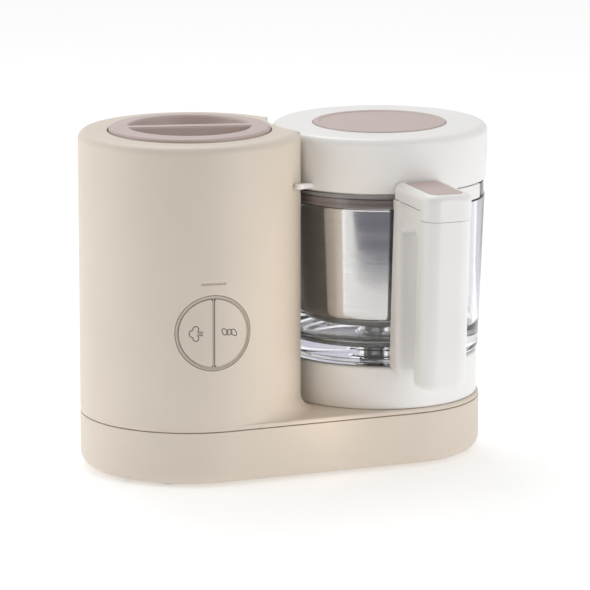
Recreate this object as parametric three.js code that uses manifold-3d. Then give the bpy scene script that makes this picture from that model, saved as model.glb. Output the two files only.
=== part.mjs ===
// A countertop baby food maker. A round boiler tower and a round jug stand side by side on one long base:
// the tower boils water and sends steam into the jug's lid, and a motor under the jug turns its blade.
// Millimetres, +Z up. The tower axis and the jug axis lie on the X axis; the user stands on the -Y side.

import * as THREE from "three";
import { mergeVertices } from "three/addons/utils/BufferGeometryUtils.js";
import Module from "manifold-3d";

const wasm = await Module();
wasm.setup();

// ---------------------------------------------------------------- driving dimensions

const TOWER_R = 82.5; // outside radius of the boiler tower and of the base end below it
const END_R = 76.5; // outside radius of the base end below the jug
const AXIS_GAP = 150; // from the tower axis to the jug axis
const BAY_R = 84; // radius of the hollow in the tower's side where the jug stands
const WALL = 2.8; // moulded wall of the housings
const GAP = 0.4; // clearance between pieces that sit close together

const BASE_Z = 2; // underside of the lower shell, above the table
const SEAM_Z = 41.7; // joint between the lower shell and the upper housing
const DECK_Z = 45.2; // flat top of the base around the jug
const TOWER_TOP = 252.5;
const TOWER_FILLET = 6;
const BASE_FILLET = 9;
const DECK_FILLET = 2.2;
const FLARE_R = 10; // soft inside corner where the tower wall runs out into the deck

const PEDESTAL_R = 73.9; // white stand that carries the jug
const PEDESTAL_TOP = 78;
const WELL_R = 33; // well in the stand for the drive coupling
const WELL_Z = 69;

const CONTROL_TURN = THREE.MathUtils.degToRad(-6.7); // the buttons sit a little to the left of the front
const CONTROL_Z = 116;
const BUTTON_R = 26;
const BEZEL_R = 27.8;
const BUTTON_SPLIT = 1.4; // gap between the two half-moon buttons
const LAMP_Z = 152.4;

const CAP_R = 60; // tank cap
const CAP_EDGE_Z = 253.5;
const CAP_CREST_Z = 255.5;
const CAP_DISH_R = 45;
const CAP_BAR_TURN = THREE.MathUtils.degToRad(-13);

const GLASS_FOOT_Z = 78.3;
const GLASS_FLOOR_Z = 91;
const GLASS_LEDGE_Z = 195.6; // ledge inside the glass that carries the basket
const GLASS_NECK_Z = 196.8;
const GLASS_LIP_Z = 207.6;

const BASKET_Z = 104.6; // underside of the steam basket
const BASKET_R = 64;

const LID_Z = 209;
const LID_TOP = 249.5;
const LID_R = 81;
const DISC_R = 49.8;
const STEAM_Z = 226; // height of the steam passage from the tower into the lid

const HANDLE_TURN = THREE.MathUtils.degToRad(0.5);
const HANDLE_HALF = 18.5; // half the width of the handle
const HANDLE_FRONT = 143; // front of the handle, from the jug axis
const HANDLE_TOP = 218;
const HANDLE_SEAM = 205.5; // joint below the handle cap
const HANDLE_BOTTOM = 72;
const STRAP_FACE = 88; // front face of the strap that lies along the glass

const SIDES = 36; // facets of a large turned piece
const MID_SIDES = 24; // facets of a hidden turned piece
const FEW_SIDES = 12; // facets of a small turned piece

// ---------------------------------------------------------------- colours

const COLOURS = {
  beige: [0xddd1bf, 0.6, 0],
  white: [0xedebe7, 0.45, 0],
  mauve: [0xb9a79f, 0.6, 0],
  rubber: [0x3a3733, 0.9, 0],
  silicone: [0xd9d2cb, 0.7, 0],
  steel: [0xc9c7c4, 0.35, 1],
  aluminium: [0xb8b9bb, 0.45, 1],
  brass: [0xb89a5a, 0.4, 1],
  black: [0x2b2b2d, 0.6, 0],
  board: [0x2f5a3c, 0.7, 0],
  glass: [0xdfe8e6, 0.05, 0],
  lamp: [0xf4efe6, 0.3, 0],
};

// ---------------------------------------------------------------- solids

/** A closed geometry as a solid that can be joined and cut. */
function toSolid(geometry) {
  const bare = new THREE.BufferGeometry();
  bare.setAttribute("position", geometry.getAttribute("position").clone());
  if (geometry.index) bare.setIndex(geometry.index.clone());
  const merged = mergeVertices(bare, 1e-3);
  const mesh = new wasm.Mesh({
    numProp: 3,
    vertProperties: merged.getAttribute("position").array,
    triVerts: new Uint32Array(merged.index.array),
  });
  return new wasm.Manifold(mesh);
}

/** The geometry of a solid. */
function toGeometry(made) {
  const mesh = made.getMesh();
  const geometry = new THREE.BufferGeometry();
  geometry.setAttribute("position", new THREE.BufferAttribute(mesh.vertProperties, 3));
  geometry.setIndex(new THREE.BufferAttribute(mesh.triVerts, 1));
  return geometry;
}

function cut(body, ...tools) {
  return toGeometry(tools.reduce((left, tool) => left.subtract(toSolid(tool)), toSolid(body)));
}

function join(body, ...others) {
  return toGeometry(others.reduce((sum, other) => sum.add(toSolid(other)), toSolid(body)));
}

function common(body, other) {
  return toGeometry(toSolid(body).intersect(toSolid(other)));
}

/** A piece turned about the Z axis from a profile of [radius, z] points. */
function turned(profile, sides = SIDES) {
  const points = profile.map(([r, z]) => new THREE.Vector2(r, z));
  if (THREE.ShapeUtils.area(points) < 0) points.reverse();
  if (points[0].x > 0 || points.at(-1).x > 0) points.push(points[0].clone());
  return new THREE.LatheGeometry(points, sides).rotateX(Math.PI / 2);
}

function rod(radius, low, high, sides = FEW_SIDES) {
  return turned([[0, low], [radius, low], [radius, high], [0, high]], sides);
}

function ring(inner, outer, low, high, sides = FEW_SIDES) {
  return turned([[inner, low], [outer, low], [outer, high], [inner, high]], sides);
}

/** Points of an arc in a profile, from one angle in degrees to another. */
function arc(centreR, centreZ, radius, from, to, steps = 4) {
  return Array.from({ length: steps + 1 }, (_, i) => {
    const angle = THREE.MathUtils.degToRad(from + ((to - from) * i) / steps);
    return [centreR + radius * Math.cos(angle), centreZ + radius * Math.sin(angle)];
  });
}

/** A box between two corners. */
function block(x0, x1, y0, y1, z0, z1) {
  const box = new THREE.BoxGeometry(x1 - x0, y1 - y0, z1 - z0);
  return box.translate((x0 + x1) / 2, (y0 + y1) / 2, (z0 + z1) / 2);
}

/** A rod that lies along X or Y, from its low end to its high end. */
function rodAlongX(radius, low, high, y, z, sides = FEW_SIDES) {
  return rod(radius, low, high, sides).rotateY(Math.PI / 2).translate(0, y, z);
}

function rodAlongY(radius, low, high, x, z, sides = FEW_SIDES) {
  return rod(radius, low, high, sides).rotateX(-Math.PI / 2).translate(x, 0, z);
}

/** A closed skin through rings of equal point count, each anticlockwise seen from above, lowest first. */
function lofted(rings) {
  const count = rings[0].length;
  const positions = rings.flat(2);
  const index = [];
  for (let level = 0; level < rings.length - 1; level++) {
    for (let i = 0; i < count; i++) {
      const a = level * count + i;
      const b = level * count + ((i + 1) % count);
      index.push(a, b, b + count, a, b + count, a + count);
    }
  }
  for (const [level, isTop] of [[0, false], [rings.length - 1, true]]) {
    const centre = positions.length / 3;
    const middle = rings[level].reduce((sum, p) => sum.map((v, k) => v + p[k] / count), [0, 0, 0]);
    positions.push(...middle);
    for (let i = 0; i < count; i++) {
      const a = level * count + i;
      const b = level * count + ((i + 1) % count);
      index.push(centre, isTop ? a : b, isTop ? b : a);
    }
  }
  const geometry = new THREE.BufferGeometry();
  geometry.setAttribute("position", new THREE.Float32BufferAttribute(positions, 3));
  geometry.setIndex(index);
  return geometry;
}

/** The base outline, two unequal round ends joined by straight sides, moved inwards by an inset. */
function baseRing(inset, z, steps = 13) {
  const tilt = Math.asin((TOWER_R - END_R) / AXIS_GAP);
  const half = Math.PI / 2 - tilt;
  const points = [];
  for (const [centre, radius, from, to] of [
    [AXIS_GAP / 2, END_R - inset, -half, half],
    [-AXIS_GAP / 2, TOWER_R - inset, half, 2 * Math.PI - half],
  ]) {
    for (let i = 0; i <= steps; i++) {
      const angle = from + ((to - from) * i) / steps;
      points.push([centre + radius * Math.cos(angle), radius * Math.sin(angle), z]);
    }
  }
  return points;
}

function basePrism(inset, low, high) {
  return lofted([baseRing(inset, low), baseRing(inset, high)]);
}

/** A rectangle with round corners, as a ring of points about a centre, with its front on the -Y side. */
function roundedRing(halfX, yBack, yFront, backRadius, frontRadius, z, steps = 4) {
  const corners = [
    [halfX - frontRadius, yFront + frontRadius, frontRadius, -90],
    [halfX - backRadius, yBack - backRadius, backRadius, 0],
    [backRadius - halfX, yBack - backRadius, backRadius, 90],
    [frontRadius - halfX, yFront + frontRadius, frontRadius, 180],
  ];
  return corners.flatMap(([x, y, radius, start]) =>
    Array.from({ length: steps + 1 }, (_, i) => {
      const angle = THREE.MathUtils.degToRad(start + (90 * i) / steps);
      return [x + radius * Math.cos(angle), y + radius * Math.sin(angle), z];
    }),
  );
}

// ---------------------------------------------------------------- the assembly and its two upright axes

const assembly = new THREE.Group();
const tower = new THREE.Group();
tower.position.x = -AXIS_GAP / 2;
const controls = new THREE.Group();
controls.rotation.z = CONTROL_TURN;
const jug = new THREE.Group();
jug.position.x = AXIS_GAP / 2;
const handle = new THREE.Group();
handle.rotation.z = HANDLE_TURN;
tower.add(controls);
jug.add(handle);
assembly.add(tower, jug);

function place(group, name, geometry, colour) {
  const [color, roughness, metalness] = COLOURS[colour];
  const mesh = new THREE.Mesh(geometry, new THREE.MeshStandardMaterial({ color, roughness, metalness }));
  mesh.name = name;
  group.add(mesh);
  return mesh;
}

// ---------------------------------------------------------------- base

const BASE_SCREWS = [[-138, 38], [-138, -38], [130, 37], [130, -37]];
const FEET = [[-108, 50], [-108, -50], [102, 46], [102, -46]];
const SCREW_POST_R = 3.8;
const PILOT_R = 1.7; // pilot hole of a self-tapping screw

/** The lower shell: an open tray with round bottom edges, foot recesses, screw holes and cooling slots. */
function lowerShell() {
  const levels = arc(0, BASE_FILLET, BASE_FILLET, -90, 0).map(([x, z]) => [BASE_FILLET - x, z]);
  const outside = levels.map(([inset, z]) => baseRing(inset, BASE_Z + z));
  outside.push(baseRing(0, SEAM_Z - 0.3));
  const innerRadius = BASE_FILLET - WALL;
  const innerLevels = arc(0, innerRadius, innerRadius, -90, 0, 3);
  const inside = innerLevels.map(([x, z]) => baseRing(WALL + innerRadius - x, BASE_Z + WALL + z));
  inside.push(baseRing(WALL, SEAM_Z + 5));
  const holes = BASE_SCREWS.map(([x, y]) =>
    join(rod(3.6, 0, BASE_Z + 1.6, 12), rod(1.9, 0, BASE_Z + 8, 12)).translate(x, y, 0),
  );
  const recesses = FEET.map(([x, y]) => rod(9.5, 0, BASE_Z + 1.4).translate(x, y, 0));
  const slots = [-16, -8, 0, 8, 16].map((y) => block(60, 90, y - 1.5, y + 1.5, 0, BASE_Z + 8));
  const glandHole = rodAlongY(6.4, 60, 100, -AXIS_GAP / 2, 22);
  return cut(lofted(outside), lofted(inside), glandHole, ...holes, ...recesses, ...slots);
}
place(assembly, "lower_shell", lowerShell(), "beige");

FEET.forEach(([x, y], i) => {
  const profile = [[0, 0], [7.6, 0], [8.8, 1], [8.8, BASE_Z + 1], [0, BASE_Z + 1]];
  place(assembly, `foot_${i + 1}`, turned(profile, MID_SIDES), "rubber").position.set(x, y, 0);
});

BASE_SCREWS.forEach(([x, y], i) => {
  const profile = [[0, 2.4], [3.1, 2.4], [3.1, 3.3], [1.3, 3.3], [1.3, 22], [0, 22]];
  place(assembly, `base_screw_${i + 1}`, turned(profile, 8), "steel").position.set(x, y, 0);
});

/** The cord gland in the back wall of the lower shell: a flanged bush with a through bore. */
function gland() {
  const flange = [[3.6, 74], [8.2, 74], [8.2, 77.6], [6, 77.6]];
  const mouth = [[6, 82.9], [8.6, 82.9], [8.6, 85.4], [3.6, 85.4]];
  return turned([...flange, ...mouth], FEW_SIDES).rotateX(-Math.PI / 2);
}
place(tower, "power_inlet", gland(), "black").position.z = 22;

place(tower, "power_board", block(-38, 38, -28, 28, 14, 15.6), "board");

// ---------------------------------------------------------------- upper housing with the tower

const CAP_POCKET_FLOOR = 240.5;
const NECK_SCREW_R = 51;

/** The cavity inside the tower, which follows the bay at one side. */
function towerCavity(low, high) {
  const bayWall = rod(BAY_R + WALL, low - 1, high + 1, SIDES).translate(AXIS_GAP, 0, 0);
  return cut(rod(TOWER_R - WALL, low, high, SIDES), bayWall);
}

/** The upper housing in one piece: deck, tower, bay, cap pocket, control opening and screw posts. */
function upperHousing() {
  const toTower = (geometry) => geometry.translate(-AXIS_GAP / 2, 0, 0);
  const edge = arc(0, 0, DECK_FILLET, 0, 90, 4);
  const deck = lofted([
    baseRing(0.2, SEAM_Z + 0.3),
    ...edge.map(([x, z]) => baseRing(0.2 + DECK_FILLET - x, DECK_Z - DECK_FILLET + z)),
  ]);
  const tongue = basePrism(WALL + 0.5, SEAM_Z - 5, SEAM_Z + 1);
  const tongueHollow = basePrism(WALL + 2.7, SEAM_Z - 10, DECK_Z - WALL);
  const body = toTower(
    turned([
      [0, SEAM_Z + 0.3],
      [TOWER_R, SEAM_Z + 0.3],
      ...arc(TOWER_R - TOWER_FILLET, TOWER_TOP - TOWER_FILLET, TOWER_FILLET, 0, 90),
      [0, TOWER_TOP],
    ]),
  );
  const flareProfile = [
    [70, DECK_Z - 1],
    [TOWER_R + FLARE_R, DECK_Z - 1],
    ...arc(TOWER_R + FLARE_R, DECK_Z + FLARE_R, FLARE_R, -90, -180),
    [70, DECK_Z + FLARE_R],
  ];
  const flare = common(toTower(turned(flareProfile)), basePrism(2.2, 0, 100));
  const bay = rod(BAY_R, DECK_Z, TOWER_TOP + 10, SIDES).translate(AXIS_GAP / 2, 0, 0);
  const shell = cut(
    join(cut(join(body, flare), bay), deck, tongue),
    tongueHollow,
    toTower(towerCavity(SEAM_Z - 1, TOWER_TOP - WALL)),
  );
  const pocket = toTower(ring(30, 63.5, CAP_POCKET_FLOOR - 3, TOWER_TOP - 1, SIDES));
  const pocketHollow = toTower(
    turned([
      [0, 200],
      [44, 200],
      [44, CAP_POCKET_FLOOR],
      [53, CAP_POCKET_FLOOR],
      [53, 247],
      [CAP_R + 0.8, 247],
      [CAP_R + 0.8, TOWER_TOP + 1],
      [0, TOWER_TOP + 1],
    ]),
  );
  const trim = rod(BAY_R, DECK_Z, TOWER_TOP + 10, SIDES).translate(AXIS_GAP / 2, 0, 0);
  const neckPilots = atNeckScrews(PILOT_R, 230, CAP_POCKET_FLOOR - 1).map(toTower);
  const post = rod(SCREW_POST_R, BASE_Z + WALL + 3.6, DECK_Z - 1, 12);
  const posts = BASE_SCREWS.map(([x, y]) => post.clone().translate(x, y, 0));
  const pilots = BASE_SCREWS.map(([x, y]) => rod(PILOT_R, 0, 24, 10).translate(x, y, 0));
  const control = rodAlongY(BEZEL_R + GAP, -TOWER_R - 5, -60, 0, CONTROL_Z, MID_SIDES);
  const controlHole = toTower(control.rotateZ(CONTROL_TURN));
  const lamp = block(-9.2, 9.2, -TOWER_R - 5, -70, LAMP_Z - 1.2, LAMP_Z + 1.2);
  const lampSlot = toTower(lamp.rotateZ(CONTROL_TURN));
  const steamHole = toTower(rodAlongX(6.4, 50, 80, 0, STEAM_Z));
  const motorHole = rod(52, SEAM_Z - 12, DECK_Z + 2, SIDES).translate(AXIS_GAP / 2, 0, 0);
  const withPocket = cut(join(shell, cut(pocket, trim)), pocketHollow, ...neckPilots);
  return cut(join(withPocket, ...posts), ...pilots, controlHole, lampSlot, steamHole, motorHole);
}

function neckScrewAngle(i) {
  return THREE.MathUtils.degToRad(60 + 120 * i);
}

/** A hole between two heights at the place of each neck screw. */
function atNeckScrews(radius, low, high) {
  const hole = rod(radius, low, high, 10).translate(NECK_SCREW_R, 0, 0);
  return [0, 1, 2].map((i) => hole.clone().rotateZ(neckScrewAngle(i)));
}
place(assembly, "upper_housing", upperHousing(), "beige");

// ---------------------------------------------------------------- boiler and steam path

const neckProfile = [
  [38.4, 224],
  [42, 224],
  [42, 233.5],
  [57, 233.5],
  [57, 237.1],
  [43.4, 237.1],
  [43.4, 240.1],
  [38.4, 240.1],
];
place(tower, "tank_neck", cut(turned(neckProfile, MID_SIDES), ...atNeckScrews(1.8, 230, 240)), "white");

for (let i = 0; i < 3; i++) {
  const profile = [[0, 230.6], [3, 230.6], [3, 233.1], [1.3, 233.1], [1.3, 239], [0, 239]];
  const screw = place(tower, `neck_screw_${i + 1}`, turned(profile, 8), "steel");
  const angle = neckScrewAngle(i);
  screw.position.set(NECK_SCREW_R * Math.cos(angle), NECK_SCREW_R * Math.sin(angle), 0);
}

const boilerProfile = [
  [0, 130],
  ...arc(40, 136, 6, -90, 0, 3),
  [46, 229],
  [47.4, 229],
  [47.4, 233.1],
  [43.4, 233.1],
  ...arc(39, 137, 4.4, 0, -90, 3),
  [0, 132.6],
];
const boilerPort = rodAlongX(1.6, 40, 50, 0, 205, 12);
place(tower, "boiler_tank", cut(turned(boilerProfile, MID_SIDES), boilerPort), "aluminium");
place(tower, "heater_plate", rod(42, 126.3, 129.7, MID_SIDES), "aluminium");
place(tower, "heating_element", new THREE.TorusGeometry(32, 4, 8, 20).translate(0, 0, 122), "steel");
const thermostatProfile = [[0, 112], [6, 112], [6, 118], [9, 118], [9, 126], [0, 126]];
place(tower, "thermostat", turned(thermostatProfile, FEW_SIDES), "black");

const steamPath = new THREE.CatmullRomCurve3(
  [[47.4, 205], [50.5, 207], [52, 212], [52, 219], [52.6, 224], [54.6, STEAM_Z]].map(
    ([x, z]) => new THREE.Vector3(x, 0, z),
  ),
);
const steamSection = new THREE.Shape().absarc(0, 0, 2.2, 0, 2 * Math.PI);
const steamSweep = { extrudePath: steamPath, steps: 9, curveSegments: 4 };
place(tower, "steam_tube", new THREE.ExtrudeGeometry(steamSection, steamSweep), "silicone");

const outletProfile = [[2.6, 55.2], [5, 55.2], [5, 59], [9, 59], [9, 61.5], [6, 61.5], [6, 68], [2.6, 68]];
const outlet = turned(outletProfile, FEW_SIDES).rotateY(Math.PI / 2);
place(tower, "steam_outlet", outlet, "white").position.z = STEAM_Z;
const outletSealProfile = [[6.4, 66.9], [9.5, 66.9], [8.6, 68.3], [6.4, 68.3]];
const outletSeal = turned(outletSealProfile, FEW_SIDES).rotateY(Math.PI / 2);
place(tower, "steam_outlet_seal", outletSeal, "silicone").position.z = STEAM_Z;

// ---------------------------------------------------------------- tank cap

const capProfile = [
  [0, 243.2],
  [51, 243.2],
  [51, 247.6],
  [CAP_R, 247.6],
  ...arc(CAP_R - 1.2, CAP_EDGE_Z - 1.2, 1.2, 0, 70, 3),
  [CAP_DISH_R + 6, CAP_CREST_Z - 0.5],
  [CAP_DISH_R + 2, CAP_CREST_Z],
  [CAP_DISH_R, CAP_CREST_Z - 0.8],
  [CAP_DISH_R - 2.5, 247.5],
  [CAP_DISH_R - 5, 246],
  [0, 246],
];

/** The cap with its dish and the grip bar that spans it. */
function tankCap() {
  const bar = lofted([
    roundedRing(CAP_DISH_R, 7, -7, 1, 1, 245),
    roundedRing(CAP_DISH_R, 6.5, -6.5, 1, 1, CAP_CREST_Z - 2),
    roundedRing(CAP_DISH_R, 5.4, -5.4, 1, 1, CAP_CREST_Z - 0.6),
    roundedRing(CAP_DISH_R, 3.6, -3.6, 1, 1, CAP_CREST_Z),
  ]);
  return join(turned(capProfile), bar.rotateZ(CAP_BAR_TURN));
}
place(tower, "tank_cap", tankCap(), "mauve");
place(tower, "tank_cap_seal", ring(45, 50.8, CAP_POCKET_FLOOR + GAP, 242.9, MID_SIDES), "silicone");
const plugProfile = [[0, 242.9], [37.6, 242.9], [37.6, 225], [35, 225], [35, 239.5], [0, 239.5]];
place(tower, "tank_cap_plug", turned(plugProfile, MID_SIDES), "white");

// ---------------------------------------------------------------- front controls

/** A piece cut from the tower's wall: the shell between two radii that lies inside a tool. */
function fromWall(inner, outer, tool) {
  return common(ring(inner, outer, 80, 160, SIDES), tool);
}

/** A half-moon button on one side of the split, with the stem that pushes its switch. */
function halfMoon(side) {
  const disc = rodAlongY(BUTTON_R, -90, -60, 0, CONTROL_Z, MID_SIDES);
  const inner = (side * BUTTON_SPLIT) / 2;
  const outer = side * 40;
  const half = block(Math.min(inner, outer), Math.max(inner, outer), -90, -60, 80, 160);
  const face = fromWall(TOWER_R - 4.5, TOWER_R, common(disc, half));
  return join(face, rodAlongY(3, -79, -69.8, side * 12, CONTROL_Z, 12));
}
place(controls, "steam_button", halfMoon(-1), "beige");
place(controls, "blend_button", halfMoon(1), "beige");

const bezelTool = cut(
  rodAlongY(BEZEL_R, -90, -60, 0, CONTROL_Z, MID_SIDES),
  rodAlongY(BUTTON_R + GAP, -91, -59, 0, CONTROL_Z, MID_SIDES),
);
place(controls, "control_bezel", fromWall(TOWER_R - 8, TOWER_R, bezelTool), "beige");
const lampTool = block(-8.8, 8.8, -90, -60, LAMP_Z - 0.8, LAMP_Z + 0.8);
place(controls, "indicator_lens", fromWall(TOWER_R - 4, TOWER_R - 0.1, lampTool), "lamp");
place(controls, "control_board", block(-30, 30, -64, -62.4, 88, 144), "board");
for (const [name, side] of [["steam_switch", -1], ["blend_switch", 1]]) {
  const body = block(side * 12 - 3, side * 12 + 3, -67.2, -64.3, CONTROL_Z - 3, CONTROL_Z + 3);
  const plunger = rodAlongY(1.7, -68.2, -67, side * 12, CONTROL_Z, 12);
  place(controls, name, join(body, plunger), "black");
}

// ---------------------------------------------------------------- stand, motor and drive

const standProfile = [
  [PEDESTAL_R, DECK_Z + 0.3],
  ...arc(PEDESTAL_R - 2.5, PEDESTAL_TOP - 2.5, 2.5, 0, 90, 3),
  [WELL_R, PEDESTAL_TOP],
  [WELL_R, WELL_Z],
  [11.6, WELL_Z],
  [11.6, WELL_Z - 3],
  [WELL_R + 3, WELL_Z - 3],
  [WELL_R + 3, PEDESTAL_TOP - 3],
  [PEDESTAL_R - 3, PEDESTAL_TOP - 3],
  [PEDESTAL_R - 3, DECK_Z + 0.3],
];
const standPosts = [30, 150, 270].map((degrees) =>
  rod(4, 61.3, PEDESTAL_TOP - 1, 12).translate(44, 0, 0).rotateZ(THREE.MathUtils.degToRad(degrees)),
);
place(jug, "pedestal", join(turned(standProfile), ...standPosts), "white");

const canProfile = [[9.2, 20], [30, 20], [30, 58], [9.2, 58], [9.2, 55], [26, 55], [26, 23], [9.2, 23]];
place(jug, "motor_can", turned(canProfile, MID_SIDES), "steel");
place(jug, "motor_bracket", ring(10, 50, 58.4, 60.9, MID_SIDES), "steel");
place(jug, "motor_bearing_bottom", ring(4.4, 8.8, 20.2, 22.8), "brass");
place(jug, "motor_bearing_top", ring(4.4, 8.8, 55.2, 57.8), "brass");
const rotorProfile = [[0, 9], [4, 9], [4, 26], [20, 26], [20, 52], [4, 52], [4, 74], [0, 74]];
place(jug, "motor_rotor", turned(rotorProfile, MID_SIDES), "steel");

function coolingFan() {
  const blades = Array.from({ length: 6 }, (_, i) =>
    block(7, 24, -0.8, 0.8, 10.5, 17).rotateZ((i * Math.PI) / 3),
  );
  return join(ring(4.4, 9, 10, 17.5), ...blades);
}
place(jug, "cooling_fan", coolingFan(), "black");

/** A set of equal lugs spaced round the axis, between two radii. */
function lugs(inner, outer, halfWidth, low, high, count, turn) {
  return Array.from({ length: count }, (_, i) =>
    block(inner, outer, -halfWidth, halfWidth, low, high).rotateZ(turn + (2 * Math.PI * i) / count),
  );
}
place(jug, "drive_coupling", join(ring(4.4, 8.5, 62, 76), ...lugs(7, 11, 1.8, 70, 76, 3, 0)), "black");

// ---------------------------------------------------------------- jug: glass, blade and its bearing

const glassOutside = [[60, GLASS_FOOT_Z], [73, GLASS_FOOT_Z], [74.9, 80.6], [79.4, GLASS_NECK_Z]];
const glassProfile = [
  ...glassOutside,
  [78.5, GLASS_NECK_Z + 0.6],
  [78.5, GLASS_LIP_Z - 1],
  [77.5, GLASS_LIP_Z],
  [76.2, GLASS_LIP_Z],
  [75.4, GLASS_LIP_Z - 1],
  [75.4, GLASS_LEDGE_Z],
  [73.1, GLASS_LEDGE_Z],
  [70.8, 103],
  ...arc(59, GLASS_FLOOR_Z + 12, 12, -12, -90, 4),
  [9.6, GLASS_FLOOR_Z],
  [9.6, 84],
  [57, 84],
];
place(jug, "glass_bowl", turned(glassProfile), "glass");

const bearingProfile = [[4.4, 80.6], [9.2, 80.6], [9.2, 91.4], [13.5, 91.4], [12.5, 95.5], [4.4, 95.5]];
place(jug, "blade_bearing", turned(bearingProfile, MID_SIDES), "steel");
place(jug, "bearing_nut", cut(rod(15, 80.4, 83.6, 6), rod(9.7, 70, 90)), "steel");

/** The blade: two curved wings on a hub and shaft, one wing rising and one falling. */
function blade() {
  const outline = new THREE.Shape();
  outline.moveTo(3, -6.5);
  outline.quadraticCurveTo(26, -10, 43, 1);
  outline.lineTo(43.5, 3);
  outline.quadraticCurveTo(24, 8, 3, 6.5);
  outline.closePath();
  const wings = [[0, -0.07, 98.5], [Math.PI, 0.02, 98.2]].map(([turn, rise, z]) => {
    const wing = new THREE.ExtrudeGeometry(outline, { depth: 1.6, bevelEnabled: false, curveSegments: 6 });
    return wing.rotateY(rise).rotateZ(turn).translate(0, 0, z);
  });
  const hubProfile = [[0, 80.2], [3.9, 80.2], [3.9, 96.2], [7, 96.2], [7, 101.5], [4, 103.5], [0, 103.5]];
  const hub = turned(hubProfile, FEW_SIDES);
  return join(hub, ...wings);
}
place(jug, "blade", blade(), "steel");

const cupLow = WELL_Z + 0.8;
const cupProfile = [[0, 76.6], [12.4, 76.6], [12.4, cupLow], [16.5, cupLow], [16.5, 79.6], [0, 79.6]];
const cupLugs = lugs(9.4, 14, 1.8, cupLow, 78, 3, Math.PI / 3);
place(jug, "driven_coupling", join(turned(cupProfile, MID_SIDES), ...cupLugs), "black");

// ---------------------------------------------------------------- steam basket

const basketCorner = [BASKET_R - 12, BASKET_Z + 12];
const basketOutside = [[0, BASKET_Z], ...arc(...basketCorner, 12, -90, -5), [67.4, 196.2]];
const basketInside = [[66.2, 197.6], ...arc(...basketCorner, 10.8, -5, -90), [0, BASKET_Z + 1.2]];
const basketProfile = [...basketOutside, [71.2, 196.4], [71.2, 197.6], ...basketInside];
const basketSlots = Array.from({ length: 8 }, (_, i) =>
  block(16, 44, -1.5, 1.5, BASKET_Z - 2, BASKET_Z + 4).rotateZ((i * Math.PI) / 4),
);
place(jug, "steam_basket", cut(turned(basketProfile), ...basketSlots), "steel");
const rimProfile = [
  [71.8, 196.1],
  [74.8, 196.1],
  [74.8, 202.6],
  [74, 203.4],
  [67.6, 203.4],
  [67, 202.6],
  [67, 198],
  [71.8, 198],
];
place(jug, "basket_rim", turned(rimProfile), "mauve");

// ---------------------------------------------------------------- lid

const lidProfile = [
  [77.6, LID_Z],
  [80.2, LID_Z],
  [LID_R, STEAM_Z],
  ...arc(LID_R - 6, LID_TOP - 6, 6, 0, 90),
  [DISC_R + GAP, LID_TOP],
  [DISC_R + GAP, LID_TOP - 2.8],
  [0, LID_TOP - 2.8],
  [0, LID_TOP - 5.2],
  [75, LID_TOP - 5.2],
  [78.3, LID_TOP - 8],
  [78.3, STEAM_Z],
];

/** The stop ear on the lid's edge: a short bar with a round end that reaches past the tower's edge. */
function lidEar() {
  const root = new THREE.Vector2(-70.4, -38.6);
  const tip = new THREE.Vector2(-84.6, -57.6);
  const half = 3.6;
  const length = root.distanceTo(tip);
  const outline = new THREE.Shape();
  outline.moveTo(0, -half);
  outline.lineTo(length, -half);
  outline.absarc(length, 0, half, -Math.PI / 2, Math.PI / 2);
  outline.lineTo(0, half);
  outline.closePath();
  const bar = new THREE.ExtrudeGeometry(outline, { depth: 4.2, bevelEnabled: false, curveSegments: 6 });
  const turn = Math.atan2(tip.y - root.y, tip.x - root.x);
  return cut(bar.rotateZ(turn).translate(root.x, root.y, 211.5), rod(79, 200, 220, SIDES));
}
const lidPort = rodAlongX(6.5, -90, -70, 0, STEAM_Z);
place(jug, "lid_shell", join(cut(turned(lidProfile), lidPort), lidEar()), "white");

/** The square duct that leads the steam from the lid's port down through the liner. */
const DUCT_HALF = 4.5;
const DUCT_X = -65;
const ductTop = STEAM_Z + DUCT_HALF;
const steamDrop = block(DUCT_X - DUCT_HALF, DUCT_X + DUCT_HALF, -DUCT_HALF, DUCT_HALF, 200, ductTop);

/** The liner under the lid: a plate with a plug skirt and a square hole for the steam. */
function lidLiner() {
  const plug = [[70, 204], [72.7, 204], [72.7, 209.3]];
  const plate = [[77, 209.3], [77, 212], [0, 212], [0, 209.6], [70, 209.6]];
  return cut(turned([...plug, ...plate]), steamDrop);
}
place(jug, "lid_liner", lidLiner(), "white");

/** The elbow on the liner: it takes the steam in from the tower's side and turns it down. */
function lidElbow() {
  const body = block(-76.8, -58, -9, 9, 212 + GAP, 235);
  const inlet = block(-80, DUCT_X, -DUCT_HALF, DUCT_HALF, STEAM_Z - DUCT_HALF, STEAM_Z + DUCT_HALF);
  return cut(body, inlet, steamDrop);
}
place(jug, "lid_elbow", lidElbow(), "white");
place(jug, "lid_seal", ring(73.1, 75, 204.2, 208.8, SIDES), "silicone");
const discProfile = [
  [0, LID_TOP - 2.4],
  [DISC_R, LID_TOP - 2.4],
  [DISC_R, LID_TOP + 0.2],
  [DISC_R - 0.7, LID_TOP + 0.8],
  [DISC_R - 5, LID_TOP + 0.8],
  [DISC_R - 5.6, LID_TOP + 0.1],
  [0, LID_TOP + 0.1],
];
place(jug, "lid_disc", turned(discProfile), "mauve");

// ---------------------------------------------------------------- handle

const HANDLE_SCREWS = [-9, 9];
const HANDLE_SCREW_Z = 198;

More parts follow.
